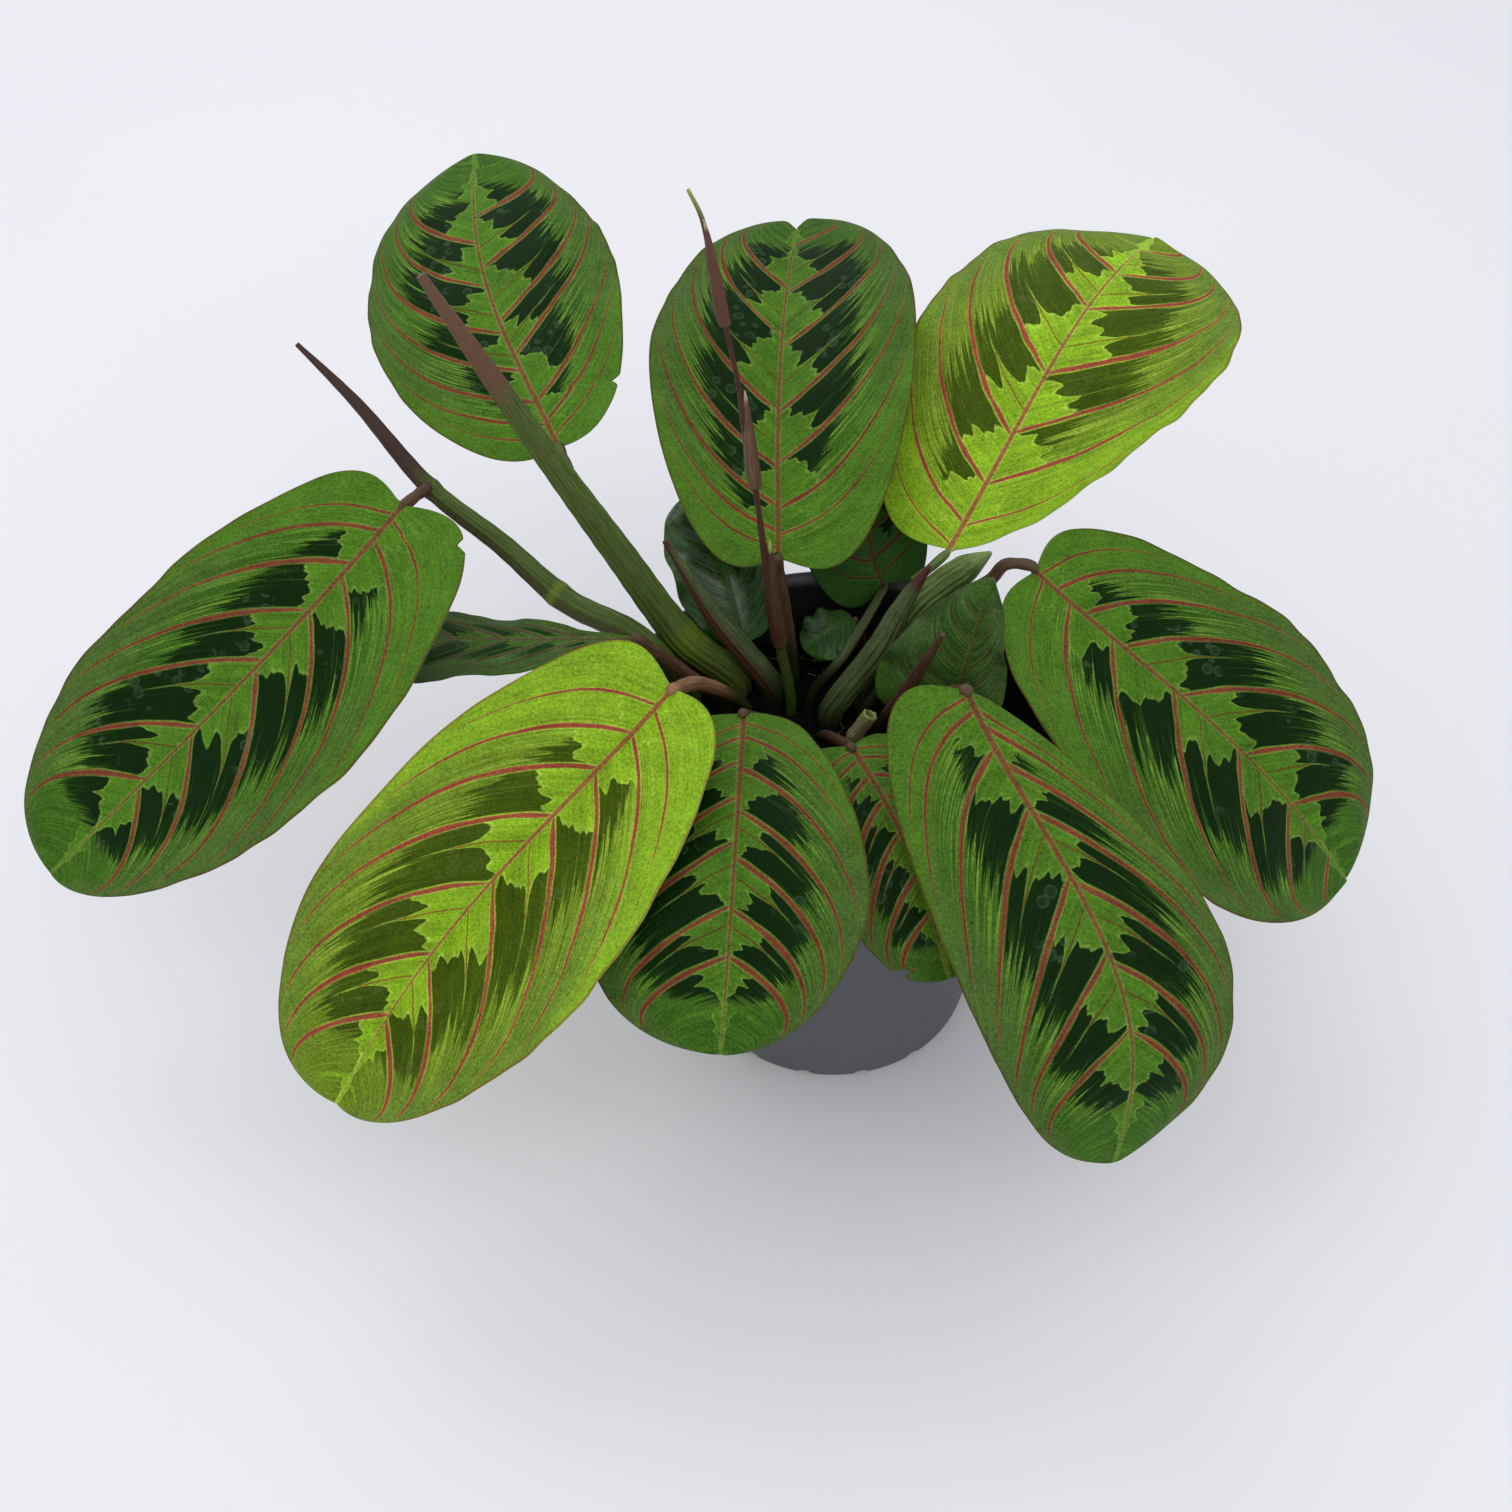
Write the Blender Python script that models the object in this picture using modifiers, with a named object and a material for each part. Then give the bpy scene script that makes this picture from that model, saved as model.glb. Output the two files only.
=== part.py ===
"""A potted prayer plant: a nursery pot, its soil, fourteen leaves on stalks, shoots, spears and a cut stub.

The origin is the centre of the pot's flat foot, with +Z up. +X runs to the right of the photo and +Y away from
the viewer. Every length below is in millimetres and is turned to metres by MM.
"""

import math

import bmesh
import bpy
from mathutils import Vector

MM = 0.001
UP = Vector((0.0, 0.0, 1.0))

TURN_STEPS = 60
POT_PROFILE = (
    (0.0, 1.4), (29.5, 1.4), (31.5, 4.6), (41.3, 4.6), (41.9, 8.0), (57.4, 104.8), (57.6, 108.4),
    (58.4, 109.7), (59.3, 110.0), (60.2, 109.7), (61.0, 108.6), (61.0, 105.4), (60.6, 104.9),
    (58.9, 104.4), (43.0, 0.0), (41.6, 0.0), (40.6, 3.2), (32.4, 3.2), (30.4, 0.0), (0.0, 0.0),
)
NOTCHES, NOTCH_RADIUS = 16, 2.4
DRAINS, DRAIN_RADIUS, DRAIN_CIRCLE = 6, 3.6, 36.5

SOIL_GAP = 0.35
SOIL_TOP = ((0.0, 93.0), (9.0, 93.0), (18.0, 93.0), (27.0, 93.0), (36.0, 92.4), (45.0, 91.4))
SOIL_EDGE, SOIL_TOE = 90.0, 9.0
SOIL_BASE = ((40.8, 4.6), (31.2, 4.6), (29.2, 1.4), (0.0, 1.4))
ROOT_FLOOR = 80.0
ROOT_GAP = 0.6

BLADE = 0.7
PLAIN_LEAF = dict(
    arch=10.0, peak=0.5, sway=0.0, roll=0.0, fold=0.0, bend=20.0, wave=2.0, waves=3.0, full=2.3,
    wide=0.5, skew=0.0, plump=0.0, lobe=4.0, curl=0.0, lean=0.0, cells=(14, 8), nicks=(),
)
LEAVES = {
    "back_left": dict(base=(-77.8, 59.6, 152.6), tip=(-110, 165, 191), arch=3, peak=0.55, sway=-7, roll=-13,
                      fold=6, bend=13, width=78, wide=0.55, full=1.95, lobe=13, wave=1,
                      nicks=((0.16, 1.0, 2.2),)),
    "back": dict(base=(-16.8, 36.8, 131.4), tip=(-10, 155, 174), arch=9, sway=-2, roll=-2, fold=-13, bend=8,
                 width=77, wide=0.51, skew=0.02, full=1.95, plump=0.2, lean=0.02, lobe=40, wave=1,
                 nicks=((1.0, 0.0, 3.4),)),
    "back_right": dict(base=(30.2, 39, 133), tip=(96, 132, 179), arch=15, peak=0.6, roll=5, fold=2, bend=7,
                       curl=-75, width=88, wide=0.56, skew=0.04, full=1.95, plump=-0.2, lean=0.02, lobe=20,
                       wave=1, cells=(14, 12)),
    "back_small": dict(base=(14.2, 51.7, 111), tip=(24, 120, 150), arch=8, peak=0.4, sway=-8, width=42,
                       wide=0.42, full=2.1, lean=-0.06, lobe=18, wave=1, cells=(10, 6)),
    "glossy_small": dict(base=(-26, 34, 104), tip=(-41, 68, 132), arch=5, width=31, lobe=2, cells=(10, 6)),
    "soil_small": dict(base=(5, 41, 107), tip=(-9, 34, 101), arch=2, width=21, lobe=2, wave=1, cells=(8, 6)),
    "right": dict(base=(51.9, 25.5, 135.7), tip=(141, -22, 65), arch=10, peak=0.6, sway=1, roll=19, fold=-8,
                  bend=6, width=83, wide=0.54, full=1.95, plump=-0.1, lean=0.08, lobe=40, wave=1),
    "front_right": dict(base=(26.3, -35.2, 146.9), tip=(65, -103, 52), arch=19, peak=0.6, sway=-10, roll=19,
                        fold=1, bend=13, width=62, wide=0.58, skew=-0.06, full=1.95, plump=0.2, lean=0.1,
                        lobe=40, wave=1),
    "folded": dict(base=(30.5, 4.5, 98), tip=(37.5, 9, 146), arch=2, roll=32, fold=-18, bend=8, width=37, wide=0.3,
                   full=1.5, lean=-0.26, wave=1.6, cells=(12, 8)),
    "front": dict(base=(-26.2, -13.8, 119.8), tip=(-31, -100, 93), arch=9, peak=0.45, sway=-3, roll=14, fold=-3,
                  bend=9, width=71, wide=0.6, full=1.95, plump=0.15, lean=0.08, lobe=34, wave=1),
    "front_small": dict(base=(0.9, -26.1, 120), tip=(23, -79, 94), arch=10, roll=4, width=40, lobe=18, wave=1.5,
                        bend=14, cells=(10, 8), nicks=((0.97, 0.9, 3.6),)),
    "front_left": dict(base=(-43.8, -17.3, 131.4), tip=(-129, -87, 53), arch=5, peak=0.6, sway=4, roll=-22,
                       fold=-25, bend=0, width=81, wide=0.51, full=1.95, plump=0.2, lean=-0.12, lobe=36,
                       wave=1),
    "left": dict(base=(-117.8, 37.4, 148.7), tip=(-220, -20, 65), arch=4, peak=0.42, sway=-4, roll=-27, fold=-4,
                 bend=-10, width=80, wide=0.48, skew=0.06, full=1.95, plump=0.2, lean=-0.07, lobe=34,
                 wave=1, nicks=((0.012, 1.0, 2.4), (0.06, -1.0, 1.8))),
    "left_edge": dict(base=(-55, 10, 125), tip=(-140, 28, 112), arch=-1, width=30, roll=2, lobe=0, bend=4,
                      wide=0.66, full=1.9, wave=1.0, lean=-0.22, cells=(12, 6)),
}
STALKS = {
    "back_left": ((-70.8, 38.4, 152, 1.9), (-77.5, 58.7, 152.5, 1.8)),
    "back": ((-12, 33, 80, 1.9), (-12, 33, 95, 1.9), (-16.8, 36.3, 130.1, 1.6)),
    "back_right": ((21.5, 35.4, 125.6, 1.4), (25.8, 36.4, 129.2, 1.4), (29.6, 38.4, 132, 1.1)),
    "back_small": ((-7.5, 20.5, 80, 1.5), (-7.5, 20.5, 95, 1.5), (2.5, 24, 109, 1.5), (13.9, 50.2, 109.7, 1.4)),
    "glossy_small": ((-23, 36, 80, 1.6), (-23, 36, 95, 1.6), (-26, 34, 102.6, 1.4)),
    "soil_small": ((9, 42, 80, 1.3), (9, 42, 95, 1.3), (5.8, 41.3, 105.8, 1.1)),
    "right": ((7, 14, 80, 1.9), (7, 14, 95, 1.9), (19.5, 20, 112, 1.9), (33.8, 28, 124.4, 1.9),
              (40.6, 27.2, 131.6, 1.9), (44.2, 26.6, 137.2, 1.8), (50.8, 25.6, 137.3, 1.6)),
    "front_right": ((17, 2, 80, 1.9), (17, 2, 95, 1.9), (21, -16, 126, 1.9), (26, -34.4, 145.8, 1.8)),
    "folded": ((30, 5.5, 80, 1.4), (30, 5.5, 92, 1.4), (30.8, 4.6, 96.9, 1.2)),
    "front": ((-20, 8, 80, 1.7), (-20, 8, 95, 1.7), (-26, -13.2, 119.1, 1.6)),
    "front_small": ((-5, 4, 80, 1.6), (-5, 4, 95, 1.6), (0.5, -25.2, 119.0, 1.5)),
    "front_left": ((-26, 16, 80, 1.9), (-26, 16, 95, 1.9), (-37, 2, 116, 2.2), (-43.6, -16.7, 130.7, 1.8)),
    "left": ((-113.5, 47.2, 147.2, 1.8), (-117.8, 38.2, 147.9, 1.6)),
    "left_edge": ((-32, 16, 80, 1.9), (-32, 16, 95, 1.9), (-43, 13, 111, 2.1), (-54.4, 10.2, 124.5, 1.6)),
}
SHOOTS = {
    "shoot_tall": ((-29, 28, 80, 4.8), (-29, 28, 95, 4.8), (-44.3, 28.6, 111, 4.8), (-60.5, 32.5, 137, 4.3),
                   (-78, 35.8, 166.5, 3.4), (-91, 38, 190, 2.6), (-103, 38, 214, 1.2)),
    "shoot_low": ((-42, 20, 80, 3.6), (-42, 20, 95, 3.6), (-55, 20.5, 116.5, 3.6), (-76, 34, 119, 3.6),
                  (-94, 43, 132, 3.1), (-113, 50, 146, 2.6), (-131, 60, 166, 1.7), (-146, 67, 180, 0.7)),
    "spear_left": ((-18, 24, 80, 3.6), (-18, 24, 95, 3.6), (-34, 30, 116, 3.0), (-48, 36, 138, 0.7)),
    "flower_stalk": ((-13, 19, 80, 1.8), (-13, 19, 95, 1.8), (-16, 21, 112, 1.7), (-19, 23, 128, 1.5),
                     (-21.5, 25.5, 148, 1.0), (-23, 27, 160, 0.9), (-23.6, 27.3, 164, 1.5),
                     (-26, 28.5, 181, 1.3), (-27, 29, 188, 0.8), (-30, 28.6, 205, 0.8), (-31, 28.5, 209, 1.3),
                     (-33, 28.2, 221, 1.1), (-35, 28, 232, 0.7), (-38, 26, 240, 0.5)),
    "sheath_right": ((4.5, 24, 80, 4.2), (4.5, 24, 95, 4.2), (20.8, 31, 118, 4.2), (28, 33.5, 124.5, 4.2),
                     (34.5, 33.5, 130.5, 4.0), (40.6, 31.7, 137.2, 3.3)),
    "spear_right": ((-2, 14, 80, 3.6), (-2, 14, 95, 3.6), (10.3, 18, 113.7, 3.7), (14.9, 21, 122.5, 3.2),
                    (19.5, 23, 131.9, 2.0), (23.4, 24, 138.5, 0.6)),
    "spear_front": ((12, 8, 80, 2.0), (12, 8, 95, 2.0), (17, -7, 124, 1.9), (22.5, -16, 148, 0.6)),
    "cut_stub": ((3, 0, 80, 2.3), (3, 0, 95.5, 2.3), (8, 1, 106, 2.3)),
}
STUB_BORE, STUB_BORE_DEPTH = 1.5, 9.0

LEAF_GREEN = (0.075, 0.19, 0.035)
LIGHT_GREEN = (0.30, 0.42, 0.06)
DARK_GREEN = (0.03, 0.08, 0.025)
STALK_BROWN = (0.20, 0.11, 0.06)
SHOOT_GREEN = (0.14, 0.19, 0.05)
PALE_TAN = (0.48, 0.38, 0.22)
LIGHT_LEAVES = ("back_right", "front_left")
DARK_LEAVES = ("glossy_small", "folded", "soil_small", "left_edge")


def clear_scene():
    for old in list(bpy.data.objects):
        bpy.data.objects.remove(old, do_unlink=True)


def new_collection(name, hidden=False):
    found = bpy.data.collections.new(name)
    bpy.context.scene.collection.children.link(found)
    found.hide_render = hidden
    return found


def material(name, colour, roughness):
    made = bpy.data.materials.new(name)
    made.use_nodes = True
    shader = made.node_tree.nodes["Principled BSDF"]
    shader.inputs["Base Color"].default_value = (*colour, 1.0)
    shader.inputs["Roughness"].default_value = roughness
    return made


def add(name, data, collection, colour=None, roughness=0.6):
    obj = bpy.data.objects.new(name, data)
    collection.objects.link(obj)
    if colour is not None:
        data.materials.append(material(name, colour, roughness))
    return obj


def helper(name, data, collection):
    obj = add(name, data, collection)
    obj.hide_render = True
    obj.display_type = "WIRE"
    return obj


def mesh_of(bm, name):
    mesh = bpy.data.meshes.new(name)
    bm.to_mesh(mesh)
    bm.free()
    return mesh


def turned(name, profile, steps, collection, colour, roughness):
    """A solid turned about Z from a profile at +X that runs down its outer side."""
    bm = bmesh.new()
    points = [bm.verts.new((radius * MM, 0.0, height * MM)) for radius, height in profile]
    for first, second in zip(points, points[1:]):
        bm.edges.new((first, second))
    obj = add(name, mesh_of(bm, name), collection, colour, roughness)
    screw = obj.modifiers.new("turn", "SCREW")
    screw.steps = screw.render_steps = steps
    screw.use_merge_vertices = True
    screw.merge_threshold = 0.0001
    return obj


def cut(obj, cutter, name):
    boolean = obj.modifiers.new(name, "BOOLEAN")
    boolean.operation = "DIFFERENCE"
    boolean.solver = "EXACT"
    if isinstance(cutter, bpy.types.Collection):
        boolean.operand_type = "COLLECTION"
        boolean.collection = cutter
    else:
        boolean.object = cutter


def cylinder(name, centre, axis, radius, length, sides, collection):
    """A helper cylinder about the centre given, along the axis given."""
    bm = bmesh.new()
    bmesh.ops.create_cone(
        bm, cap_ends=True, segments=sides, radius1=radius * MM, radius2=radius * MM, depth=length * MM
    )
    obj = helper(name, mesh_of(bm, name), collection)
    obj.rotation_euler = Vector(axis).to_track_quat("Z", "Y").to_euler()
    obj.location = Vector(centre) * MM
    return obj


def build_pot(collection, helpers):
    pot = turned("pot", POT_PROFILE, TURN_STEPS, collection, (0.085, 0.09, 0.11), 0.55)
    for index in range(NOTCHES):
        angle = 2 * math.pi * (index + 0.5) / NOTCHES
        out = Vector((math.cos(angle), math.sin(angle), 0.0))
        cylinder(f"notch_{index}", out * 42.5, out, NOTCH_RADIUS, 8.0, 12, helpers["notches"])
    for index in range(DRAINS):
        angle = 2 * math.pi * index / DRAINS
        centre = Vector((math.cos(angle), math.sin(angle), 0.0)) * DRAIN_CIRCLE + UP * 4.0
        cylinder(f"drain_{index}", centre, UP, DRAIN_RADIUS, 6.0, 16, helpers["notches"])
    cut(pot, helpers["notches"], "notches and drain holes")


def ground(x, y):
    """How far the soil's top stands above its turned profile at this place."""
    return 0.9 * math.sin(0.13 * x + 0.6) * math.cos(0.11 * y - 0.4) + 0.6 * math.sin(0.29 * y + 0.21 * x)


def wall_radius(height):
    """The pot's inner radius at this height, on the straight part of its wall."""
    (low_radius, low), (high_radius, high) = POT_PROFILE[4], POT_PROFILE[5]
    return low_radius + (high_radius - low_radius) * (height - low) / (high - low)


def build_soil(collection, helpers):
    side = tuple((wall_radius(height) - SOIL_GAP, height) for height in (SOIL_EDGE, SOIL_TOE))
    base = tuple((radius, height + SOIL_GAP) for radius, height in SOIL_BASE)
    guide = turned("soil_guide", SOIL_TOP + side + base, TURN_STEPS, helpers["guides"], None, 0.9)
    guide.hide_render = True
    bpy.context.view_layer.update()
    shape = guide.evaluated_get(bpy.context.evaluated_depsgraph_get())
    mesh = bpy.data.meshes.new_from_object(shape)
    top = 89.0 * MM
    for vertex in mesh.vertices:
        if vertex.co.z > top:
            vertex.co.z += ground(vertex.co.x / MM, vertex.co.y / MM) * MM
    soil = add("soil", mesh, collection, (0.018, 0.013, 0.010), 0.95)
    for name, path in {**STALKS, **SHOOTS}.items():
        x, y, z, radius = path[0]
        if z == ROOT_FLOOR:
            centre = (x, y, ROOT_FLOOR + 15.0)
            cylinder(f"hole_{name}", centre, UP, radius + ROOT_GAP, 30.0, 12, helpers["holes"])
    cut(soil, helpers["holes"], "stalk holes")


def leaf_frame(leaf):
    """The leaf's base, chord, face and side directions, the side being on the right from base to tip."""
    base = Vector(leaf["base"])
    chord = Vector(leaf["tip"]) - base
    along = chord.normalized()
    face = (UP - along * UP.dot(along)).normalized()
    side = along.cross(face)
    roll = math.radians(leaf["roll"])
    return base, chord, face * math.cos(roll) + side * math.sin(roll), side * math.cos(roll) - face * math.sin(roll)


def leaf_point(leaf, u, v):
    """The place on the blade at u from base 0 to tip 1 and v from left edge -1 to right edge 1."""
    base, chord, face, side = leaf_frame(leaf)
    power = math.log(0.5) / math.log(leaf["peak"])

    def rib(at):
        rise = math.sin(math.pi * at**power)
        return base + chord * at + (face * leaf["arch"] + side * leaf["sway"]) * rise

    along = (rib(min(u + 0.001, 1.0)) - rib(max(u - 0.001, 0.0))).normalized()
    across = (side - along * side.dot(along)).normalized()
    normal = across.cross(along)
    hand = math.copysign(1.0, v) if v else 0.0
    far = abs(v)
    wide = leaf["wide"] + leaf["skew"] * hand
    full = leaf["full"] + leaf["plump"] * hand
    stretch = 2.0 * u ** (math.log(0.5) / math.log(wide)) - 1.0
    outline = max(1.0 - abs(stretch) ** full, 0.0) ** (1.0 / full)
    half = leaf["width"] / 2.0
    reach = half * outline * (1.0 + leaf["lean"] * hand) * far
    curl = math.radians(leaf["curl"]) * max(1.25 - 1.25 * u, 0.0) ** 0.7 if hand > 0 else 0.0
    curl *= 1.0 if u > 0 else 0.0
    flat = drop = 0.0
    parts = 16
    for part in range(parts):
        at = far * (part + 0.5) / parts
        angle = math.radians(leaf["fold"] + leaf["bend"] * at) + curl * max((at - 0.45) / 0.55, 0.0) ** 1.3
        flat += math.cos(angle) / parts
        drop += math.sin(angle) / parts
    ripple = leaf["wave"] * math.sin(2 * math.pi * (leaf["waves"] * u + 0.25 * hand)) * far**2
    ripple *= max(math.sin(math.pi * u), 0.0) ** 0.5
    back = leaf["lobe"] * (reach / half) ** 1.3 * (1.0 - u) ** 6
    return rib(u) + across * (flat * reach * hand) + normal * (ripple - drop * reach) - along * back


def leaf_normal(leaf, u, v):
    step = 0.01
    u = min(max(u, 0.05), 0.95)
    v = min(max(v, -0.9), 0.9)
    along = leaf_point(leaf, u + step, v) - leaf_point(leaf, u - step, v)
    across = leaf_point(leaf, u, v + step) - leaf_point(leaf, u, v - step)
    return across.cross(along).normalized()


def build_leaf(name, leaf, collection, helpers):
    """A blade from a grid laid on the leaf's surface, split into triangles, then given its thickness."""
    columns, rows = leaf["cells"]
    bm = bmesh.new()
    bmesh.ops.create_grid(bm, x_segments=columns, y_segments=rows, size=0.5)
    for vertex in bm.verts:
        u = 0.5 - 0.5 * math.cos(math.pi * min(max(vertex.co.x + 0.5, 0.0), 1.0))
        v = min(max(2.0 * vertex.co.y, -1.0), 1.0)
        vertex.co = leaf_point(leaf, u, v) * MM
    bmesh.ops.remove_doubles(bm, verts=bm.verts, dist=0.00001)
    bmesh.ops.triangulate(bm, faces=bm.faces)
    if name in LIGHT_LEAVES:
        colour = LIGHT_GREEN
    else:
        colour = DARK_GREEN if name in DARK_LEAVES else LEAF_GREEN
    blade = add(f"leaf_{name}", mesh_of(bm, f"leaf_{name}"), collection, colour, 0.45)
    solid = blade.modifiers.new("thickness", "SOLIDIFY")
    solid.thickness = BLADE * MM
    solid.offset = 0.0
    for index, (u, v, radius) in enumerate(leaf["nicks"]):
        centre = leaf_point(leaf, u, v)
        axis = leaf_normal(leaf, u, v)
        nick = cylinder(f"nick_{name}_{index}", centre, axis, radius, 12.0, 12, helpers["nicks"])
        cut(blade, nick, f"nick {index}")


def smooth_path(path, pieces=3):
    """A path through the points given, with further points along a smooth curve between them."""
    points = [Vector(point) for point in path]
    first = 1 if path[0][2] == ROOT_FLOOR else 0
    dense = points[:first]
    for index in range(first, len(points) - 1):
        before = points[max(index - 1, 0)]
        start, end = points[index], points[index + 1]
        after = points[min(index + 2, len(points) - 1)]
        for piece in range(pieces):
            t = piece / pieces
            dense.append(
                0.5 * (2 * start + (end - before) * t + (2 * before - 5 * start + 4 * end - after) * t * t
                       + (3 * start - before - 3 * end + after) * t**3)
            )
    return dense + [points[-1]]


def build_tube(name, path, collection, colour, roughness=0.5):
    """A round stalk along the path, its radius changing from point to point, both ends closed."""
    curve = bpy.data.curves.new(name, "CURVE")
    curve.dimensions = "3D"
    curve.bevel_depth = MM
    curve.bevel_resolution = 2
    curve.use_fill_caps = True
    points = smooth_path(path)
    spline = curve.splines.new("POLY")
    spline.points.add(len(points) - 1)
    for place, point in zip(spline.points, points):
        x, y, z, radius = point
        if z == ROOT_FLOOR:
            z += 0.3
        place.co = (x * MM, y * MM, z * MM, 1.0)
        place.radius = radius
    return add(name, curve, collection, colour, roughness)


def build_stub(collection, helpers):
    """The cut stub is a tube made mesh, with a blind bore down from its open mouth."""
    curve = build_tube("stub_guide", SHOOTS["cut_stub"], helpers["guides"], None)
    curve.hide_render = True
    bpy.context.view_layer.update()
    bm = bmesh.new()
    bm.from_mesh(bpy.data.meshes.new_from_object(curve.evaluated_get(bpy.context.evaluated_depsgraph_get())))
    bmesh.ops.remove_doubles(bm, verts=bm.verts, dist=0.00001)
    bmesh.ops.recalc_face_normals(bm, faces=bm.faces)
    stub = add("cut_stub", mesh_of(bm, "cut_stub"), collection, PALE_TAN, 0.7)
    points = smooth_path(SHOOTS["cut_stub"])
    mouth = points[-1].to_3d()
    axis = (mouth - points[-2].to_3d()).normalized()
    bore = cylinder("stub_bore", mouth, axis, STUB_BORE, STUB_BORE_DEPTH, 16, helpers["guides"])
    cut(stub, bore, "bore")


def build():
    clear_scene()
    plant = new_collection("potted_prayer_plant")
    helpers = {name: new_collection(name, hidden=True) for name in ("notches", "holes", "nicks", "guides")}
    build_pot(plant, helpers)
    build_soil(plant, helpers)
    for name, own in LEAVES.items():
        build_leaf(name, {**PLAIN_LEAF, **own}, plant, helpers)
    for name, path in STALKS.items():
        build_tube(f"stalk_{name}", path, plant, STALK_BROWN)
    for name, path in SHOOTS.items():
        if name != "cut_stub":
            build_tube(name, path, plant, SHOOT_GREEN)
    build_stub(plant, helpers)


build()
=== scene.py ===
"""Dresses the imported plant: patterned leaves, ribbed stalks, soil, pot, light and camera.

Lengths in the tables are millimetres, as in the part's source, and MM turns them to metres.
Veins start at hundredths of a blade's length. The tones of leaves and stems are in thousandths.
A leaf's pattern is laid out on coordinates that each leaf mesh carries: how far along and
across the blade a point lies, and between which two side veins.
"""

import math
import random

import bmesh
import bpy
import numpy as np
from mathutils import Euler, Matrix, Vector, noise


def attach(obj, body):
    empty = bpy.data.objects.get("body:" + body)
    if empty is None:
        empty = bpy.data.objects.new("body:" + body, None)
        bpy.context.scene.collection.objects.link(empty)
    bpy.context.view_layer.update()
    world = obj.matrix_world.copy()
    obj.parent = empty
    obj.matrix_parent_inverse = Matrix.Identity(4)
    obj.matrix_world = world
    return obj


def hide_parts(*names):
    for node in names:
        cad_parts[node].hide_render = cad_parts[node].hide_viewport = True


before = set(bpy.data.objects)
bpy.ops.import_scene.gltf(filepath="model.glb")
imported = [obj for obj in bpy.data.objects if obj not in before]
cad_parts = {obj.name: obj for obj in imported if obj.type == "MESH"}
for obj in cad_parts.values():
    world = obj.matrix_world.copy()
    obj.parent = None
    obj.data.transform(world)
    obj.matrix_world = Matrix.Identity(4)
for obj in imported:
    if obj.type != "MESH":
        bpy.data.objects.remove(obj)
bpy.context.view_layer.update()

MM = 0.001
TURN = 2 * math.pi
ROUND = 6.28
UP = np.array((0.0, 0.0, 1.0))
PLANT_MIDDLE = Vector((0.0, 0.0, 0.1))

CAMERA_PLACE = (-23.0, -301.0, 382.0)
CAMERA_DOWN = 44.0
CAMERA_LENS = CAMERA_SENSOR = 36.0
SKY_COLOUR, SKY_STRENGTH = (0.95, 0.96, 1.0, 1.0), 0.88

WIDE_CELL = 9.0
EDGE_WAVES = ((7, 0.0045), (13, 0.0023))
RIB_WIDTH, RIB_GROOVE, RIB_RIDGE = 1.1, 0.35, 0.95
BLADE_HALF, EDGE_THINNING = 0.22, 0.12
TIP_NOTCH_WIDTH = 2.4

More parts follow.
